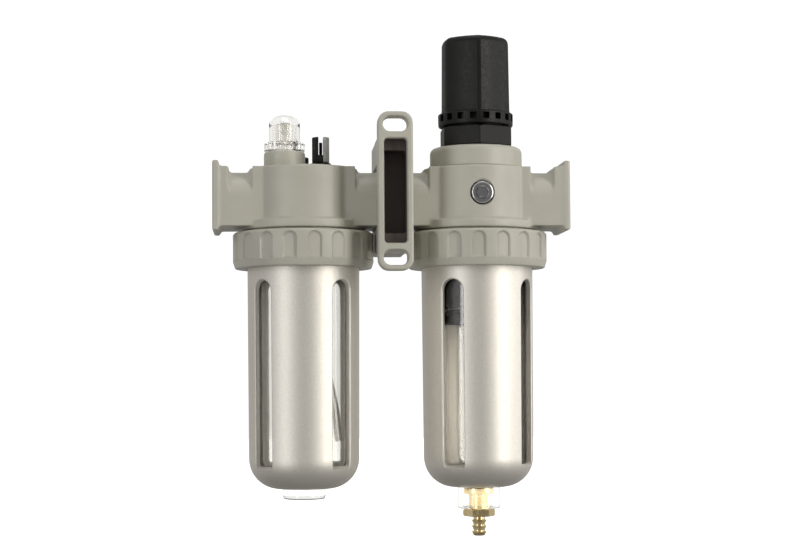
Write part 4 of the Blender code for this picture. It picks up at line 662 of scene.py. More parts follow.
def bowlRing(turn):
    r = ring
    top, bottom = r["top"], r["bottom"]
    wall = [(r["radius"], top - 0.75 - i * (top - bottom - 3.35) / 29) for i in range(30)]
    corners = [(r["bore"] + 0.3, top), (r["radius"] - 0.7, top, 0.25), *wall,
               (r["foot"] + 0.25, bottom + 0.5), (r["foot"], bottom, 0.3), (r["sill"], bottom, 0.3),
               (r["sill"], bottom + 1.2), (r["bore"], bottom + 1.2), (r["bore"], top - 0.4)]
    shape = lathe(corners, 576)
    half = r["gripWidth"] / 2
    archZ = top - r["gripTop"] - half
    floorZ = top - r["gripTop"] - r["gripHeight"]
    pitch = math.tau / r["grips"]

    def gripDepth(radius, angle, z):
        if radius < r["radius"] - 0.8:
            return 0.0
        angle += math.pi / 2 - math.radians(turn)
        across = ((angle + pitch / 2) % pitch - pitch / 2) * r["radius"]
        edge = math.hypot(across, z - archZ) - half if z > archZ else abs(across) - half
        edge = max(edge, floorZ - z)
        return r["gripDepth"] * smoothStep(0.5 - edge / r["gripSlope"])

    pressIn(shape, gripDepth)
    bmesh.ops.recalc_face_normals(shape, faces=shape.faces)
    return shape


for name, node, x, turn in (("filterRing", "filter_bowl_ring", regX, -4.9),
                            ("oilRing", "oil_bowl_ring", oilX, 7.9)):
    show(bowlRing(turn), name, [node], angle=60, at=(x, axisY, 0))

guard = {
    "top": high("oil_bowl_guard").z,
    "bottom": low("oil_bowl_guard").z,
    "flange": 22.0,
    "radius": 20.5,
    "foot": 20.1,
    "corner": 11.0,
    "wall": 2.0,
    "hole": 8.35,
    "slotWidth": 8.3,
    "slotTop": -30.7,
    "slotBottom": -99.1,
    "sillRise": 1.8,
    "rim": 0.55,
}


def guardRadius(z):
    g = guard
    share = (g["top"] - z) / (g["top"] - g["bottom"] - g["corner"])
    return g["radius"] - (g["radius"] - g["foot"]) * min(max(share, 0.0), 1.0)


def windowOutline(grow, rise):
    g = guard
    half = g["slotWidth"] / 2 + grow
    topZ = g["slotTop"] - g["slotWidth"] / 2
    sill = g["slotBottom"] + rise - grow
    points = arcLine(0, topZ, half, 0, 180, 20)
    points += [(-half, topZ + (sill + 1.4 - topZ) * i / 14) for i in range(1, 15)]
    points += arcLine(-half + 1.0, sill + 1.0, 1.0, 180, 270, 4)
    points += [(x, sill) for x in (-half / 2, 0, half / 2)]
    points += arcLine(half - 1.0, sill + 1.0, 1.0, 270, 360, 4)
    points += [(half, sill + 1.4 + (topZ - sill - 1.4) * i / 14) for i in range(0, 14)]
    return points


def windowCutter(turn):
    g = guard
    sections = []
    rim = g["rim"]
    depths = [(-1.5, rim)] + [(rim * (1 - math.cos(math.radians(a))) - 0.001,
                               rim * (1 - math.sin(math.radians(a)))) for a in (0, 18, 36, 54, 72, 90)]
    depths += [(g["wall"] - rim * 0.6 * (1 - math.cos(math.radians(a))),
                rim * 0.6 * (1 - math.sin(math.radians(a)))) for a in (90, 60, 30, 0)]
    depths.append((g["wall"] + 1.5, rim * 0.6))
    for depth, grow in depths:
        rise = g["sillRise"] * min(max(depth / g["wall"], 0), 1)
        section = []
        for x, z in windowOutline(grow, rise):
            radius = guardRadius(z) - depth
            section.append((x, -math.sqrt(radius * radius - x * x), z))
        sections.append(section)
    return turned(loft(sections), turn)


def bowlGuard(turn):
    g = guard
    outer = arcLine(g["foot"] - g["corner"], g["bottom"] + g["corner"], g["corner"], 0, -90, 16)
    inner = arcLine(g["foot"] - g["corner"], g["bottom"] + g["corner"], g["corner"] - g["wall"], -90, 0, 12)
    corners = [(g["radius"], g["top"] - 1.3, 0.4), *outer, (g["hole"], g["bottom"], 0.6),
               (g["hole"], g["bottom"] + g["wall"], 0.4), *inner, (g["radius"] - g["wall"], g["top"]),
               (g["flange"] - 0.05, g["top"], 0.3), (g["flange"] - 0.05, g["top"] - 1.3, 0.3)]
    shell = lathe(corners, 192)
    return carve(shell, [windowCutter(turn + a) for a in (45, 135, 225, 315)])


for name, node, x, turn in (("filterGuard", "filter_bowl_guard", regX, 11.8),
                            ("oilGuard", "oil_bowl_guard", oilX, -3.5)):
    show(bowlGuard(turn), name, [node], angle=45, at=(x, axisY, 0))

bowl = {
    "rimTop": high("oil_bowl").z,
    "rim": 18.0,
    "bore": 15.6,
    "outer": 17.9,
    "flange": 21.7,
    "flangeTop": -20.7,
    "flangeBottom": -22.9,
    "taper": 0.4,
    "bottom": -103.5,
    "corner": 8.4,
    "wall": 2.3,
    "boss": 7.75,
    "cupWall": 1.5,
    "cupDrop": 4.8,
    "drainHole": 3.9,
    "sealHeight": centre("oil_bowl_seal").z,
}


def bowlShape(bossBottom, drained):
    b = bowl
    foot = b["outer"] - b["taper"]
    centreR, centreZ = foot - b["corner"], b["bottom"] + b["corner"]
    outside = arcLine(centreR, centreZ, b["corner"], 0, -90, 12)
    inside = arcLine(centreR, centreZ, b["corner"] - b["wall"], -90, 0, 12)
    groove, grooveTop = b["rim"] - 1.5, b["sealHeight"] + 1.05
    grooveFloor = b["sealHeight"] - 1.05
    upper = [(b["bore"], b["rimTop"], 0.3), (b["rim"], b["rimTop"], 0.4), (b["rim"], grooveTop),
             (groove, grooveTop), (groove, grooveFloor), (b["rim"], grooveFloor),
             (b["rim"], b["flangeTop"], 0.3), (b["flange"], b["flangeTop"], 0.3),
             (b["flange"], b["flangeBottom"], 0.3), (b["outer"], b["flangeBottom"], 0.4)]
    boss = [(b["boss"], b["bottom"], 0.8), (b["boss"], bossBottom, 1.0)]
    floorZ = b["bottom"] + b["wall"]
    if drained:
        cupRadius, cupRoof = b["boss"] - b["cupWall"], floorZ - b["cupDrop"]
        cup = [(cupRadius, bossBottom, 0.3), (cupRadius, cupRoof, 0.3), (b["drainHole"], cupRoof, 0.2),
               (b["drainHole"], floorZ, 0.3)]
        return lathe(upper + outside + boss + cup + inside, 160)
    return lathe([(0, floorZ), *inside, *upper, *outside, *boss, (0, bossBottom)], 160, closed=False)


show(bowlShape(low("oil_bowl").z, False), "oilBowl", ["oil_bowl"], at=(oilX, axisY, 0))
show(bowlShape(low("filter_bowl").z, True), "filterBowl", ["filter_bowl"], at=(regX, axisY, 0))


def oRing(node):
    wire = (high(node).z - low(node).z) / 2
    radius = (high(node).x - low(node).x) / 2 - wire
    return lathe(arcLine(radius, centre(node).z, wire, 0, 345, 23), 160)


for name, node in (("oilBowlSeal", "oil_bowl_seal"), ("filterBowlSeal", "filter_bowl_seal"),
                   ("fillerSeal", "filler_seal")):
    place = centre(node)
    show(oRing(node), name, [node], at=(place.x, place.y, 0))

bonnet = {"bottom": low("bonnet").z, "top": high("bonnet").z, "radius": 17.0, "room": 12.8, "opening": 11.6}


def bonnetShape():
    b = bonnet
    return lathe([(b["room"], b["bottom"]), (b["radius"], b["bottom"], 0.3), (b["radius"], b["top"], 2.4),
                  (b["opening"], b["top"], 0.5), (b["opening"], b["top"] - 2.7, 0.2),
                  (b["room"], b["top"] - 3.7, 0.3)], 192, rounding=10)


show(bonnetShape(), "bonnetTurned", ["bonnet"], at=(regX, axisY, 0))

cage = {
    "bottom": low("spring_cage").z,
    "top": high("spring_cage").z,
    "radius": 11.3,
    "bore": 10.0,
    "roof": 2.6,
    "hole": 4.3,
    "hexCorner": 14.35,
    "hexBottom": high("bonnet").z + 0.3,
    "hexHeight": 7.3,
}


def cageShape():
    c = cage
    tube = lathe([(0, c["bottom"]), (c["radius"], c["bottom"], 0.3), (c["radius"], c["top"], 0.8),
                  (0, c["top"])], 160, closed=False)
    hexTop = c["hexBottom"] + c["hexHeight"]
    flats = prism(polygon(6, c["hexCorner"], 30), c["hexBottom"], hexTop)
    flats = rounded(flats, 0.5, 4)
    shoulder = lathe([(0, c["hexBottom"] - 1), (c["hexCorner"] + 2, c["hexBottom"] - 1),
                      (c["hexCorner"] + 2, hexTop - 2.3), (c["hexCorner"] - 1.4, hexTop + 0.05),
                      (0, hexTop + 0.05)], 128, closed=False)
    flats = carve(flats, [shoulder], "INTERSECT", "EXACT")
    body = carve(tube, [flats], "UNION", "EXACT")
    roof = c["top"] - c["roof"]
    cutters = [lathe([(0, c["bottom"] - 1), (c["bore"], c["bottom"] - 1), (c["bore"], roof, 0.5),
                      (0, roof)], 128, closed=False), rod(c["hole"], roof - 1, c["top"] + 1),
               cuboid((-10.7, 10.7), (-1.3, 1.3), (c["bottom"] - 1, roof - 0.2))]
    return carve(body, cutters, solver="EXACT")


show(cageShape(), "springCage", ["spring_cage"], at=(regX, axisY, 0))

knob = {
    "bottom": low("pressure_knob").z,
    "top": high("pressure_knob").z,
    "rib": 13.1,
    "flat": 12.35,
    "rim": 13.85,
    "bore": 11.7,
    "ceiling": 50.2,
    "corner": 2.6,
    "windows": 18,
    "ribs": 6,
    "ribHalf": 3.2,
    "ribSlope": 1.6,
    "crown": 3.2,
    "socket": 7.4,
    "socketTop": 57.6,
}


def knobShape():
    k = knob
    sill = k["bottom"] + 1.6
    head = sill + 2.4
    wall = [(k["rib"] + 0.15 - 0.25 * i / 18, head + 1.0 + (k["top"] - k["corner"] - head - 1.0) * i / 18)
            for i in range(19)]
    crown = [(k["rib"] - 0.1 - k["corner"] * (1 - math.cos(math.radians(a))),
              k["top"] - k["corner"] + k["corner"] * math.sin(math.radians(a))) for a in range(8, 90, 8)]
    corners = [(0, k["ceiling"]), (k["bore"], k["ceiling"], 0.3), (k["bore"], k["bottom"], 0.3),
               (k["rim"] - 0.1, k["bottom"], 0.5), (k["rim"], sill), (k["rim"], head),
               (k["rim"], head + 0.55, 0.3), *wall, *crown, (10.2, k["top"]), (9.4, k["top"] - 0.35, 0.4),
               (0, k["top"] - 0.35)]
    shape = lathe(corners, 360, closed=False)
    pitch = math.tau / k["ribs"]
    start = head + 0.6

    def flatDepth(radius, angle, z):  # the flats between the ribs, fading out at the foot and over the top
        if z < start or radius < k["flat"] - k["crown"]:
            return 0.0
        off = abs((angle + math.pi / 2 + pitch / 2) % pitch - pitch / 2)
        share = smoothStep((math.degrees(off) - k["ribHalf"]) / k["ribSlope"])
        bulge = (1 - math.cos(pitch / 2 - off)) * 0.5 * radius
        sink = max((k["rib"] - k["flat"] - bulge) * share, 0.0)
        fade = min(max((z - start) / 0.5, 0.0), 1.0)
        inward = min(max((radius - k["flat"] + k["crown"]) / 2.4, 0.0), 1.0)
        return sink * fade * inward

    pressIn(shape, flatDepth)
    cutters = []
    for i in range(k["windows"]):
        window = cuboid((-1.2, 1.2), (-k["rim"] - 1, -k["bore"] + 0.5), (sill, head), 0.25, 2)
        cutters.append(turned(window, 360 * (i + 0.5) / k["windows"]))
    hexSocket = hexKey(k["socket"], k["ceiling"] - 0.5, k["socketTop"])
    return carve(shape, [joined(*cutters), hexSocket], solver="EXACT")


show(knobShape(), "pressureKnob", ["pressure_knob"], angle=40, at=(regX, axisY, 0))

domePlace = centre("sight_dome")
domeTop = high("sight_dome").z
collarTop = high("lubricator_body").z
dome = {"bore": 4.5, "radius": 5.7, "flange": 7.55, "flangeHeight": 3.0, "thread": 5.6, "threadDepth": 3.4,
        "scallops": 22, "grip": 0.35, "crown": 0.62, "wall": 1.2}


def domeShape():
    d = dome
    base = collarTop + 0.3
    shoulder = domeTop - d["radius"] * d["crown"]
    crown = [(r, shoulder + z * d["crown"]) for r, z in arcLine(0, 0, d["radius"], 0, 90, 14)]
    inner = [(r * d["bore"] / d["radius"], z - d["wall"]) for r, z in reversed(crown)]
    corners = [*inner, (d["bore"], collarTop - d["threadDepth"], 0.2),
               (d["thread"], collarTop - d["threadDepth"], 0.3), (d["thread"], base, 0.1),
               (d["flange"], base, 0.4), (d["flange"], base + 1.0), (d["flange"], base + 1.6),
               (d["flange"], base + d["flangeHeight"], 0.6), (d["radius"], base + d["flangeHeight"], 0.5),
               *crown]
    shape = lathe(corners, 264, closed=False)

    def scallopDepth(radius, angle, z):
        if radius < d["flange"] - 0.5 or z < base:
            return 0.0
        return d["grip"] * (0.5 + 0.5 * math.cos(angle * d["scallops"]))

    pressIn(shape, scallopDepth)
    return shape


show(domeShape(), "sightDome", ["sight_dome"], at=(domePlace.x, domePlace.y, 0))

nozzle = {"radius": 3.0, "wall": 0.6, "baseLow": low("drip_nozzle").z, "baseHeight": 3.0, "base": 4.2,
          "top": high("drip_nozzle").z, "tip": 23.3, "tipRadius": 0.9}


def nozzleShape():
    n = nozzle
    cap = n["top"] - n["wall"]
    return lathe([(0, n["tip"]), (n["tipRadius"], n["tip"], 0.3), (n["tipRadius"] + 0.2, cap, 0.4),
                  (n["radius"] - n["wall"], cap, 0.4), (n["radius"] - n["wall"], n["baseLow"]),
                  (n["base"], n["baseLow"], 0.2), (n["base"], n["baseLow"] + n["baseHeight"], 0.3),
                  (n["radius"], n["baseLow"] + n["baseHeight"], 0.3), (n["radius"], n["top"], 0.9),
                  (0, n["top"])], 96, closed=False)


show(nozzleShape(), "dripNozzle", ["drip_nozzle"], at=(domePlace.x, domePlace.y, 0))

feedPlace = centre("feed_screw")
feed = {"bottom": low("feed_screw").z, "top": high("feed_screw").z, "headLow": 13.2, "radius": 3.2,
        "stem": 1.8, "slotWidth": 1.8, "slotDepth": 6.8, "pin": 0.6, "pinTop": 20.7, "ribs": 30,
        "ribDepth": 0.16}


def feedShape():
    f = feed
    wall = [(f["radius"], f["headLow"] + 0.5 + (f["top"] - f["headLow"] - 1.0) * i / 6) for i in range(7)]
    corners = [(0, f["bottom"]), (f["stem"], f["bottom"] + 0.8, 0.2), (f["stem"], f["headLow"], 0.1),
               (f["radius"], f["headLow"], 0.3), *wall, (f["radius"], f["top"], 0.45), (0, f["top"])]
    shape = lathe(corners, 240, closed=False)

    def ribDepth(radius, angle, z):  # the black half is ribbed
        if radius < f["radius"] - 0.2 or abs(angle) < math.pi / 2:
            return 0.0
        return (0.5 + 0.5 * math.cos(angle * f["ribs"])) * f["ribDepth"]

    pressIn(shape, ribDepth)
    half = f["slotWidth"] / 2
    slot = cuboid((-half, half), (-6, 6), (f["top"] - f["slotDepth"], f["top"] + 1), 0.25, 3)
    shape = carve(shape, [slot], solver="EXACT")
    pin = lathe([(0, f["top"] - f["slotDepth"] - 0.3), (f["pin"], f["top"] - f["slotDepth"] - 0.3),
                 (f["pin"], f["pinTop"], 0.3), (0, f["pinTop"])], 32, closed=False)
    return joined(shape, pin)


feedKnob = show(feedShape(), "feedScrew", ["feed_screw"], at=(feedPlace.x, feedPlace.y, 0))
feedKnob.data.materials.append(paleGrey)
for face in feedKnob.data.polygons:  # the right prong is the grey half
    right = face.center.x / mm > feedPlace.x + feed["slotWidth"] / 2 - 0.05
    if right and face.center.z / mm > feed["headLow"] - 0.1:
        face.material_index = 1

scale = {"bore": 2.1, "radius": 3.8, "bottom": low("feed_scale_ring").z, "top": high("feed_scale_ring").z,
         "notches": 16}


def scaleShape():
    s = scale
    shape = lathe([(s["bore"], s["bottom"]), (s["radius"], s["bottom"], 0.2), (s["radius"], s["top"], 0.3),
                   (s["bore"], s["top"], 0.2)], 128)
    marks = []
    for i in range(s["notches"]):
        long = i % 4 == 0
        mark = cuboid((-0.12, 0.12), (-s["radius"] - 0.5, -s["radius"] + 0.2),
                      (s["top"] - (1.3 if long else 0.8), s["top"] + 0.5))
        marks.append(turned(mark, 360 * i / s["notches"]))
    return carve(shape, [joined(*marks)], solver="EXACT")


show(scaleShape(), "feedScale", ["feed_scale_ring"], at=(feedPlace.x, feedPlace.y, 0))

fillerPlace = centre("filler_plug")
filler = {"bottom": low("filler_plug").z, "top": high("filler_plug").z, "stem": 1.0, "head": 1.9,
          "headLow": 11.7}


def fillerShape():
    f = filler
    shape = lathe([(0, f["bottom"]), (f["stem"], f["bottom"], 0.3), (f["stem"], f["headLow"], 0.1),
                   (f["head"], f["headLow"], 0.25), (f["head"], f["top"], 0.5), (0, f["top"])], 96,
                  closed=False)
    slot = cuboid((-3, 3), (-0.3, 0.3), (f["top"] - 1.0, f["top"] + 1), 0.1, 2)
    return carve(shape, [slot], solver="EXACT")


show(fillerShape(), "fillerPlug", ["filler_plug"], at=(fillerPlace.x, fillerPlace.y, 0))

holder = {"bottom": low("siphon_holder").z, "top": high("siphon_holder").z, "radius": 3.3, "tube": 1.8,
          "chamber": 1.7, "hole": 0.9}


def holderShape():
    h = holder
    seat = h["bottom"] + 5.0
    return lathe([(h["tube"], h["bottom"], 0.2), (h["radius"], h["bottom"], 0.4),
                  (h["radius"], h["top"], 0.4), (h["chamber"], h["top"], 0.2), (h["chamber"], seat + 0.6),
                  (h["hole"], seat), (h["hole"], seat - 1.2), (h["tube"], seat - 1.2)], 96)


show(holderShape(), "siphonHolder", ["siphon_holder"], at=(oilX, axisY, 0))


def pipeShape(points, radius, roundness):  # a smooth closed pipe through the points
    path = bpy.data.curves.new("pipe", "CURVE")
    path.dimensions = "3D"
    path.resolution_u = 6
    path.bevel_depth = radius
    path.bevel_resolution = roundness
    path.use_fill_caps = True
    line = path.splines.new("NURBS")
    line.points.add(len(points) - 1)
    for point, place in zip(line.points, points):
        point.co = (*place, 1)
    line.use_endpoint_u = True
    line.order_u = 4
    shape = baked(newThing("pipe", path))
    bmesh.ops.remove_doubles(shape, verts=shape.verts, dist=1e-4)
    bmesh.ops.recalc_face_normals(shape, faces=shape.faces)
    return shape


siphon = {"top": high("siphon_tube").z, "foot": low("siphon_tube").z + 0.2,
          "footX": high("siphon_tube").x - 1.4, "radius": 1.5, "bore": 0.9, "steps": 12, "softness": 0.55}


def siphonShape():  # leaves its holder straight down, then leans out to the bowl's edge
    t = siphon
    points = []
    for i in range(t["steps"] + 1):
        share = i / t["steps"]
        bend = share * 0.1
        if share > 0.1:
            bend = smoothStep(share) * t["softness"] + share * (1 - t["softness"])
        points.append(Vector((oilX + (t["footX"] - oilX) * bend, axisY - bend,
                              t["top"] + (t["foot"] - t["top"]) * share)))
    past = [points[0] + (points[0] - points[1]).normalized() * 0.5, *points,
            points[-1] + (points[-1] - points[-2]).normalized() * 0.5]
    return carve(pipeShape(points, t["radius"], 6), [pipeShape(past, t["bore"], 4)], solver="EXACT")


show(siphonShape(), "siphonTube", ["siphon_tube"], angle=50)

filterSet = {"top": high("filter_element").z, "bottom": low("filter_element").z, "radius": 10.5, "bore": 6.2}


def elementShape():
    f = filterSet
    return lathe([(f["bore"], f["bottom"], 0.3), (f["radius"], f["bottom"], 0.5),
                  (f["radius"], f["top"], 0.5), (f["bore"], f["top"], 0.3)], 128)


show(elementShape(), "filterElement", ["filter_element"], at=(regX, axisY, 0))

deflector = {"top": -20.6, "plate": 1.5, "bottom": low("deflector").z, "radius": 14.2, "wall": 1.2,
             "bore": 6.2, "vanes": 10, "vaneHeight": 2.1, "hub": 9.6}


def deflectorShape():
    d = deflector
    inner = d["radius"] - d["wall"]
    shell = lathe([(d["bore"], d["top"] - d["plate"], 0.2), (inner, d["top"] - d["plate"], 0.5),
                   (inner, d["bottom"], 0.2), (d["radius"], d["bottom"], 0.3), (d["radius"], d["top"], 0.5),
                   (d["bore"], d["top"], 0.2)], 128)
    parts = [shell]
    for i in range(d["vanes"]):
        vane = cuboid((-0.4, 0.4), (-d["radius"] + 0.5, -d["hub"]),
                      (-d["vaneHeight"] / 2, d["vaneHeight"] / 2), 0.12, 2)
        turned(vane, 20, "Y")
        moved(vane, z=d["top"] - 0.2 + d["vaneHeight"] / 2)
        parts.append(turned(vane, 360 * i / d["vanes"]))
    return joined(*parts)


show(deflectorShape(), "deflector", ["deflector"], at=(regX, axisY, 0))

baffle = {"top": high("baffle").z, "bottom": low("baffle").z, "radius": 14.4, "wall": 1.4, "bore": 2.3,
          "seat": 10.5}


def baffleShape():
    b = baffle
    edge = b["top"] - b["wall"]
    inner = b["radius"] - b["wall"]
    return lathe([(b["bore"], edge), (inner, b["bottom"] + b["wall"], 0.4), (inner, b["bottom"], 0.3),
                  (b["radius"], b["bottom"], 0.4), (b["radius"], edge, 0.5), (b["seat"], b["top"], 0.5),
                  (b["bore"], b["top"], 0.2)], 128)


show(baffleShape(), "quietBaffle", ["baffle"], at=(regX, axisY, 0))

guide = {"stud": 2.0, "bottom": low("valve_guide").z, "flangeLow": -20.3, "flangeHigh": -18.8, "hub": 9.0,
         "sleeve": 6.7, "wall": 1.3, "top": high("valve_guide").z, "floor": -17.0,
         "hole": 1.2, "holeCircle": 3.8}


def guideShape():
    g = guide
    shape = lathe([(0, g["bottom"]), (g["stud"], g["bottom"], 0.4), (g["stud"], g["flangeLow"], 0.3),
                   (g["hub"], g["flangeLow"], 0.3), (g["hub"], g["flangeHigh"], 0.3),
                   (g["sleeve"], g["flangeHigh"], 0.2), (g["sleeve"], g["top"], 0.3),
                   (g["sleeve"] - g["wall"], g["top"], 0.3), (g["sleeve"] - g["wall"], g["floor"], 0.4),
                   (0, g["floor"])], 96, closed=False)
    holes = []
    for i in range(4):
        hole = moved(rod(g["hole"], g["flangeLow"] - 1.7, g["floor"] + 1, 32), y=-g["holeCircle"])
        holes.append(turned(hole, 90 * i))
    return carve(shape, holes, solver="EXACT")


show(guideShape(), "valveGuide", ["valve_guide"], at=(regX, axisY, 0))

drain = {"bore": 2.4, "stem": 3.6, "flange": 5.5, "flangeLow": -108.6, "flangeHigh": -106.3,
         "bottom": low("drain_body").z, "top": high("drain_body").z}


def drainBodyShape():
    d = drain
    shape = lathe([(d["bore"], d["bottom"], 0.2), (d["stem"], d["bottom"], 0.3),
                   (d["stem"], d["flangeLow"], 0.2), (d["flange"], d["flangeLow"], 0.4),
                   (d["flange"], d["flangeHigh"], 0.4), (d["stem"], d["flangeHigh"], 0.2),
                   (d["stem"] - 0.35, d["top"] - 3.5), (d["stem"] - 0.35, d["top"], 0.3),
                   (d["bore"], d["top"], 0.2)], 128)
    ridge = helix(d["stem"] - 0.35, d["stem"] - 0.02, 0.75, d["flangeHigh"] + 1.2, d["top"] - 0.6, 48)
    return joined(shape, ridge)


show(drainBodyShape(), "drainBody", ["drain_body"], at=(regX, axisY, 0))

nut = {"bottom": low("drain_lock_nut").z, "top": high("drain_lock_nut").z, "flats": 10.0, "hole": 3.9}


def lockNutShape():
    n = nut
    shape = hexNut(n["flats"] / 2 / math.cos(math.pi / 6), n["bottom"], n["top"], 0.5, 0.5)
    return carve(shape, [rod(n["hole"], n["bottom"] - 1, n["top"] + 1)], solver="EXACT")


show(lockNutShape(), "drainLockNut", ["drain_lock_nut"], at=(regX, axisY, 0))

cock = {"bottom": low("drain_cock").z, "top": high("drain_cock").z, "hexLow": -116.9, "hexHigh": -114.3,
        "corner": 5.9, "spindle": 2.0, "root": 2.1, "barb": 2.75, "bore": 1.2, "ridges": 3}


def cockShape():
    c = cock
    pitch = (c["hexLow"] - c["bottom"] - 0.8) / c["ridges"]
    corners = [(c["bore"], c["bottom"], 0.2), (c["root"] - 0.1, c["bottom"], 0.3)]
    for i in range(c["ridges"]):
        z = c["bottom"] + pitch * i
        corners += [(c["barb"], z + pitch * 0.72, 0.12), (c["root"], z + pitch * 0.80, 0.1),
                    (c["root"], z + pitch)]
    corners += [(c["root"], c["hexLow"] + 0.2), (c["spindle"], c["hexHigh"] - 0.1),
                (c["spindle"], c["top"], 0.3), (c["bore"], c["top"], 0.2)]
    spindle = lathe(corners, 96)
    hexagon = hexNut(c["corner"], c["hexLow"], c["hexHigh"], 0.6, 0.5)
    bore = rod(c["spindle"] - 0.1, c["hexLow"] - 1, c["hexHigh"] + 1)
    return joined(spindle, carve(hexagon, [bore], solver="EXACT"))


show(cockShape(), "drainCock", ["drain_cock"], at=(regX, axisY, 0))

bracket = {
    "width": 12.6,
    "height": high("wall_bracket").z * 2,
    "wall": 6.0,
    "corner": 4.0,
    "webWidth": 11.4,
    "webHeight": 41.2,
    "depth": high("wall_bracket").y,
    "slotPitch": 47.4,
    "slotLength": 8.8,
    "slotHeight": 5.3,
    "pocketWidth": 8.0,
    "pocketHeight": 37.0,
    "pocketDepth": 12.5,
    "ledgeDepth": 5.0,
    "ledgeHeight": 3.7,
    "lipHalf": 3.4,
    "stepTop": 10.9,
    "clampFront": high("bracket_front_clamp").y,
    "boltHeight": 16.8,
    "boltHead": 3.4,
    "boltSeat": 43.8,
}


def upright(points, near, far):  # an outline in x and z, pushed along y
    return loft([[(x, y, z) for x, z in points] for y in (near, far)])


def jawCutters():
    b = bracket
    lipDepth, lipHeight = casting["lipDepth"] + 0.3, casting["lipHeight"] + 0.3
    stepDepth = casting["armDepth"] + 0.3
    lip = cuboid((-b["lipHalf"], b["lipHalf"]), (axisY - lipDepth, axisY + lipDepth),
                 (-lipHeight, lipHeight), 0.4, 2)
    step = cuboid((-20, 20), (axisY - stepDepth, axisY + stepDepth),
                  (casting["armBottom"] - 0.3, b["stepTop"]), 0.4, 2)
    return [lip, step]


def bracketShape():
    b = bracket
    plate = rounded(upright(roundedPlate(b["width"], b["height"], b["corner"]), 0, b["wall"]), 0.7, 4,
                    over=60)
    web = cuboid((-b["webWidth"] / 2, b["webWidth"] / 2), (b["wall"] / 2, b["depth"]),
                 (-b["webHeight"] / 2, b["webHeight"] / 2), 0.5, 3)
    shape = carve(plate, [web], "UNION", "EXACT")
    shape = castSkin(shape, 0.3, 2)
    pocket = roundedPlate(b["pocketWidth"], b["pocketHeight"], 1.2)
    deep = roundedPlate(b["pocketWidth"] - 0.02, b["pocketHeight"] - 2 * b["ledgeHeight"], 1.0)
    cutters = [upright(pocket, -1, b["ledgeDepth"]), upright(deep, -1.1, b["pocketDepth"])]
    cutters.append(loft([[(x * (1 + s), y, z * (1 + s * 0.22)) for x, z in pocket]
                         for y, s in ((-1, 0.22), (-0.05, 0.13), (0.28, 0.05), (0.75, 0.0))]))
    for side in (-1, 1):
        slot = roundedPlate(b["slotLength"], b["slotHeight"], b["slotHeight"] / 2 - 0.05, 10)
        line = [[(x * (1 + s * 0.6), y, z * (1 + s) + side * b["slotPitch"] / 2) for x, z in slot]
                for y, s in ((-1, 0.22), (-0.05, 0.2), (0.2, 0.08), (0.7, 0.0), (b["wall"] - 0.5, 0.0),
                             (b["wall"] + 2, 0.0))]
        cutters.append(loft(line))
    cutters += jawCutters()
    for side in (-1, 1):
        cutters.append(moved(facing(rod(2.15, 11.7, 35, 48), "+Y"), z=side * b["boltHeight"]))
    return carve(shape, cutters)


# the bracket's pocket walls and floor carry painted shade, darker deeper in
pocketPaintedShade = recessedDieCast(bracket["pocketWidth"], bracket["pocketHeight"], 0.8, 3.2)
show(bracketShape(), "wallBracket", ["wall_bracket"], angle=50, finish=pocketPaintedShade)


def clampShape():
    b = bracket
    shape = cuboid((-b["webWidth"] / 2, b["webWidth"] / 2), (low("bracket_front_clamp").y, b["clampFront"]),
                   (-b["webHeight"] / 2, b["webHeight"] / 2), 1.0, 5)
    shape = castSkin(shape, 0.3, 2)
    cutters = jawCutters()
    for side in (-1, 1):
        hole = lathe([(0, 20), (2.3, 20), (2.3, b["boltSeat"] - 0.3),
                      (b["boltHead"] + 0.3, b["boltSeat"] - 0.3),
                      (b["boltHead"] + 0.3, b["clampFront"] - 0.3),
                      (b["boltHead"] + 0.7, b["clampFront"] + 0.1), (b["boltHead"] + 0.7, 60), (0, 60)], 64,
                     closed=False)
        cutters.append(moved(facing(hole, "+Y"), z=side * b["boltHeight"]))
    return carve(shape, cutters)


show(clampShape(), "frontClamp", ["bracket_front_clamp"], angle=50)


def boltShape(node):
    near, far = low(node).y, high(node).y
    head = 4.0
    shape = lathe([(0, near), (1.6, near, 0.2), (1.9, near + 0.6), (1.9, far - head, 0.2),
                   (3.4, far - head, 0.2), (3.4, far, 0.5), (0, far)], 96, closed=False)
    key = hexKey(3.0, far - 2.2, far + 1)
    ridge = helix(1.62, 1.98, 0.7, near + 0.9, far - head - 8, 32)
    return facing(joined(carve(shape, [key], solver="EXACT"), ridge), "+Y")


for name, node in (("upperBolt", "clamp_bolt_upper"), ("lowerBolt", "clamp_bolt_lower")):
    show(boltShape(node), name, [node], at=(0, 0, centre(node).z))


def gasketShape():
    half = high("joint_gasket").x
    return facing(lathe([(6.2, -half), (8.5, -half, 0.1), (8.5, half, 0.1), (6.2, half)], 96), "+X")


show(gasketShape(), "jointGasket", ["joint_gasket"], at=(0, axisY, 0))

plug = {"front": low("gauge_port_plug").y, "back": high("gauge_port_plug").y, "radius": 4.0, "flats": 4.0,
        "depth": 3.5}


def plugShape():
    p = plug
    length = p["back"] - p["front"]
    shape = lathe([(0, 0), (p["radius"] - 0.3, 0, 0.2), (p["radius"], 0.6), (p["radius"], length, 0.7),
                   (0, length)], 96, closed=False)
    key = hexKey(p["flats"], length - p["depth"], length + 1)
    cone = lathe([(0, length - p["depth"] - 0.9), (p["flats"] / 2, length - p["depth"] + 0.1),
                  (p["flats"] / 2, length - p["depth"] + 0.3), (0, length - p["depth"] + 0.3)], 48,
                 closed=False)
    mouth = lathe([(0, length - 0.35), (2.05, length - 0.35), (2.6, length + 0.2), (0, length + 0.2)], 48,
                  closed=False)
    return facing(carve(shape, [key, cone, mouth], solver="EXACT"), "-Y")


portHeight = centre("gauge_port_plug").z
show(plugShape(), "portPlug", ["gauge_port_plug"], at=(regX, high("gauge_port_plug").y, portHeight))

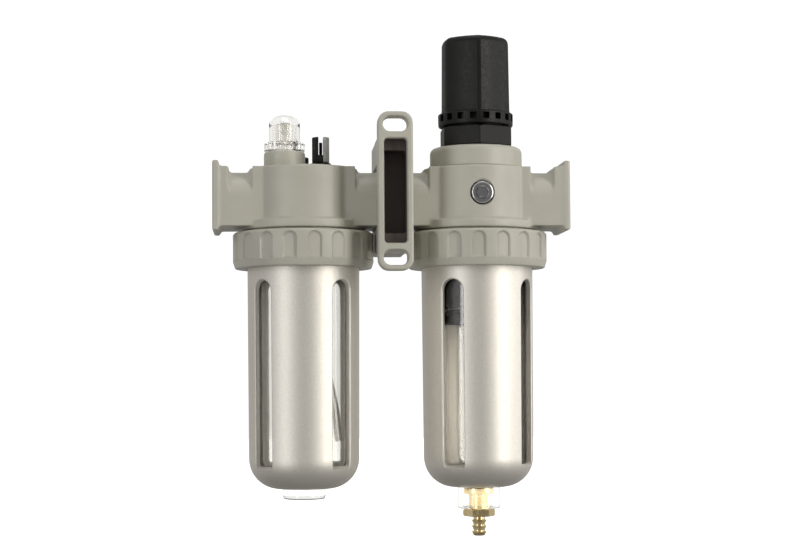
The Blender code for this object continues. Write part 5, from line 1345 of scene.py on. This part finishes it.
gauge = {
    "stemBack": low("gauge_stem").y,
    "stemFront": high("gauge_stem").y,
    "stem": 4.0,
    "flats": 12.0,
    "hexBack": axisY + 20.3,
    "hexFront": axisY + 25.9,
    "caseBack": low("gauge_case").y,
    "caseFront": high("gauge_case").y,
    "case": 18.8,
    "wall": 1.0,
    "bezel": 20.0,
    "bezelBack": low("gauge_bezel").y,
    "bezelFront": high("gauge_bezel").y,
    "dialFront": high("gauge_dial").y,
    "dialBack": low("gauge_dial").y,
    "dial": 17.5,
    "scale": 14.6,
    "zero": 225.0,
    "sweep": 270.0,
    "divisions": 50,
    "numbers": 10,
}


def gaugePiece(shape, name, node, **more):
    return show(facing(shape, "+Y"), name, [node], at=(regX, 0, portHeight), **more)


def stemShape():
    g = gauge
    stem = lathe([(0, g["stemBack"]), (g["stem"] - 0.5, g["stemBack"], 0.3),
                  (g["stem"] - 0.4, g["hexBack"] - 1.2), (g["stem"] - 0.4, g["hexBack"] + 0.3),
                  (g["stem"], g["hexBack"] + 0.3), (g["stem"], g["stemFront"], 0.4), (0, g["stemFront"])],
                 96, closed=False)
    ridge = helix(g["stem"] - 0.42, g["stem"], 0.9, g["stemBack"] + 0.8, g["hexBack"] - 1.2, 48)
    return joined(stem, ridge, hexNut(g["flats"] / 2 / math.cos(math.pi / 6), g["hexBack"], g["hexFront"],
                                      0.8, 0.7))


gaugePiece(stemShape(), "gaugeStem", "gauge_stem")


def caseShape():
    g = gauge
    inner = g["case"] - g["wall"]
    return lathe([(4.3, g["caseBack"], 0.3), (g["case"], g["caseBack"], 2.2),
                  (g["case"], g["caseFront"], 0.3), (inner, g["caseFront"], 0.3),
                  (inner, g["caseBack"] + g["wall"], 1.5), (4.3, g["caseBack"] + g["wall"], 0.2)], 160,
                 rounding=8)


gaugePiece(caseShape(), "gaugeCase", "gauge_case")


def bezelShape():
    g = gauge
    lip = g["case"] - 1.4
    glass = high("gauge_window").y
    return lathe([(19.1, g["bezelBack"], 0.2), (g["bezel"], g["bezelBack"], 0.5),
                  (g["bezel"], g["bezelFront"], 1.3), (lip, g["bezelFront"], 0.5), (lip, glass + 0.3, 0.1),
                  (19.1, glass + 0.3)], 192, rounding=8)


gaugePiece(bezelShape(), "gaugeBezel", "gauge_bezel")


def glassShape():
    back, front = low("gauge_window").y, high("gauge_window").y
    return lathe([(0, back), (18.6, back, 0.2), (18.6, front, 0.2), (0, front)], 128, closed=False)


gaugePiece(glassShape(), "gaugeGlass", "gauge_window")


def dialPoint(share, radius):  # x and z as seen in the frame, clockwise for a viewer in front
    angle = math.radians(gauge["zero"] - gauge["sweep"] * share)
    return -radius * math.cos(angle), radius * math.sin(angle)


def dialShape():
    g = gauge
    return lathe([(1.0, g["dialBack"]), (g["dial"], g["dialBack"], 0.1), (g["dial"], g["dialFront"], 0.1),
                  (1.0, g["dialFront"])], 128)


def onDial(shape):  # a mark drawn flat turns to face the dial's reader
    shape.transform(Matrix(((-1, 0, 0, 0), (0, 0, 1, 0), (0, 1, 0, 0), (0, 0, 0, 1))))
    bmesh.ops.recalc_face_normals(shape, faces=shape.faces)
    return shape


def tickShape(share, start, end, width):
    g = gauge
    angle = g["zero"] - g["sweep"] * share
    tick = cuboid((start, end), (-width / 2, width / 2), (0, 0.06))
    return moved(onDial(turned(tick, angle)), y=g["dialFront"] - 0.01)


def numberShape(text, size, x, z):
    label = bpy.data.curves.new("number", "FONT")
    label.body = text
    label.size = size
    label.align_x = "CENTER"
    label.align_y = "CENTER"
    label.extrude = 0.03
    label.resolution_u = 3
    shape = baked(newThing("number", label))
    bmesh.ops.remove_doubles(shape, verts=shape.verts, dist=1e-4)
    return moved(onDial(shape), x=x, y=gauge["dialFront"] + 0.03, z=z)


def dialPrint():
    g = gauge
    parts = []
    for i in range(g["divisions"] + 1):
        big = i % 5 == 0
        length, width = (2.0, 0.42) if big else (1.0, 0.22)
        parts.append(tickShape(i / g["divisions"], g["scale"] - length, g["scale"], width))
    for i in range(0, g["numbers"] + 1, 2):
        x, z = dialPoint(i / g["numbers"], g["scale"] - 4.2)
        parts.append(numberShape(str(i), 3.3, x, z))
    for i in range(90):
        parts.append(tickShape((i + 0.5) / 90, g["scale"] - 0.1, g["scale"] + 0.12, 0.80))
    return joined(*parts)


gaugePiece(dialShape(), "gaugeDial", "gauge_dial")
printed = dialPrint()
moved(printed, x=regX, z=portHeight)
printed.transform(Matrix.Scale(mm, 4))
dialInkPiece = thingFrom(printed, "dialPrint")
dialInkPiece.data.materials.append(ink)
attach(dialInkPiece, bodyOf["gauge_dial"])


def pointerShape():
    back, front = low("gauge_pointer").y, high("gauge_pointer").y
    pivot = lathe([(0, back), (0.7, back, 0.1), (0.7, gauge["dialFront"] + 0.1),
                   (1.5, gauge["dialFront"] + 0.3, 0.1), (1.5, front - 0.4, 0.3), (0, front)], 64,
                  closed=False)
    outline = [(13.0, 0.18), (-1.5, 0.75), (-4.2, 0.95), (-4.2, -0.95), (-1.5, -0.75), (13.0, -0.18)]
    needle = onDial(turned(prism(outline, 0, 0.45), gauge["zero"]))
    return joined(facing(pivot, "+Y"), moved(needle, y=gauge["dialFront"] + 0.4))


show(pointerShape(), "gaugePointer", ["gauge_pointer"], at=(regX, 0, portHeight))

print("pieces built")

for node, thing in frame["nodes"].items():
    if node in replaced:
        continue
    thing.data.materials.clear()
    thing.data.materials.append(finishes[slotOf[node]])

print(len(replaced), "nodes replaced,", len(frame["nodes"]) - len(replaced), "kept")

scene.view_settings.view_transform = "Standard"

studio = bpy.data.worlds.new("studio")
studio.use_nodes = True
sky = studio.node_tree
sky.nodes.clear()
rays = addNode(sky, "ShaderNodeLightPath")
seen = addNode(sky, "ShaderNodeMath",
               {0: rays.outputs["Is Camera Ray"], 1: rays.outputs["Is Transmission Ray"]},
               operation="MAXIMUM")
toward = addNode(sky, "ShaderNodeTexCoord").outputs["Generated"]
split = addNode(sky, "ShaderNodeSeparateXYZ", {"Vector": toward})
ahead = addNode(sky, "ShaderNodeMapRange", {"Value": split.outputs["Y"], "From Min": -0.80, "From Max": -0.98,
                                            "To Min": 1.0, "To Max": 0.35}, interpolation_type="SMOOTHSTEP")
under = addNode(sky, "ShaderNodeMapRange", {"Value": split.outputs["Z"], "From Min": -0.15, "From Max": -0.75,
                                            "To Min": 1.0, "To Max": 0.35}, interpolation_type="SMOOTHSTEP")
dim = addNode(sky, "ShaderNodeMath", {0: ahead.outputs["Result"], 1: under.outputs["Result"]},
              operation="MULTIPLY")
level = addNode(sky, "ShaderNodeMath", {0: dim.outputs[0], 1: 0.46}, operation="MULTIPLY")
around = addNode(sky, "ShaderNodeBackground", {"Color": linear("#fffdfa"), "Strength": level.outputs[0]})
behind = addNode(sky, "ShaderNodeBackground", {"Color": (1, 1, 1, 1), "Strength": 1.05})
blend = addNode(sky, "ShaderNodeMixShader", {0: seen.outputs[0], 1: around.outputs[0], 2: behind.outputs[0]})
addNode(sky, "ShaderNodeOutputWorld", {"Surface": blend.outputs[0]})
scene.world = studio

floorFinish, tree, shader, place = newFinish("paleFloor", ("#fbfbfa", "#f8f8f7"), 200, (0.8, 0.8), 200)
tree.links.new(tint(tree, spread(tree, place, 200, 0, 1), "#ffffff", "#fdfdfd"),
               shader.inputs["Emission Color"])
shader.inputs["Emission Strength"].default_value = 1.0
floorShape = bmesh.new()
bmesh.ops.create_grid(floorShape, x_segments=1, y_segments=1, size=3)
moved(floorShape, z=-0.185)
floor = thingFrom(floorShape, "floor")
floor.data.materials.append(floorFinish)
floor.visible_shadow = False
floor.visible_diffuse = False
floor.visible_glossy = False


def addLight(name, place, target, width, height, power, colour="#ffffff"):
    data = bpy.data.lights.new(name, "AREA")
    data.shape = "RECTANGLE"
    data.size = width
    data.size_y = height
    data.energy = power
    data.color = linear(colour)[:3]
    light = newThing(name, data)
    light.location = place
    light.rotation_euler = (Vector(target) - Vector(place)).to_track_quat("-Z", "Y").to_euler()


def aroundPlace(azimuth, distance, height):  # degrees from the wall side, to the right
    turn = math.radians(azimuth)
    return distance * math.sin(turn), axisY * mm - distance * math.cos(turn), height


aim = (0.0, axisY * mm, -0.04)
addLight("key", aroundPlace(47, 1.6, 0.25), aim, 0.34, 1.5, 12.5, "#fffcf6")
addLight("leftStrip", aroundPlace(-41, 1.6, 0.0), aim, 0.30, 1.5, 6.0)
addLight("sideRight", aroundPlace(85, 1.4, 0.2), aim, 0.4, 1.2, 3.6)
addLight("top", (0.05, 0.1, 1.2), aim, 0.7, 0.5, 2)

camera = newThing("camera", bpy.data.cameras.new("camera"))
eye, target = Vector((-0.047, -0.634, -0.0666)), Vector((0.0035, 0.0295, -0.0301))
camera.location = eye
aimed = (target - eye).to_track_quat("-Z", "Y").to_matrix()
camera.rotation_euler = (aimed @ Matrix.Rotation(math.radians(-0.4), 3, "Z")).to_euler()
camera.data.lens = 81.4
camera.data.sensor_width = 36
camera.data.clip_start = 0.05
scene.camera = camera

print("studio ready")
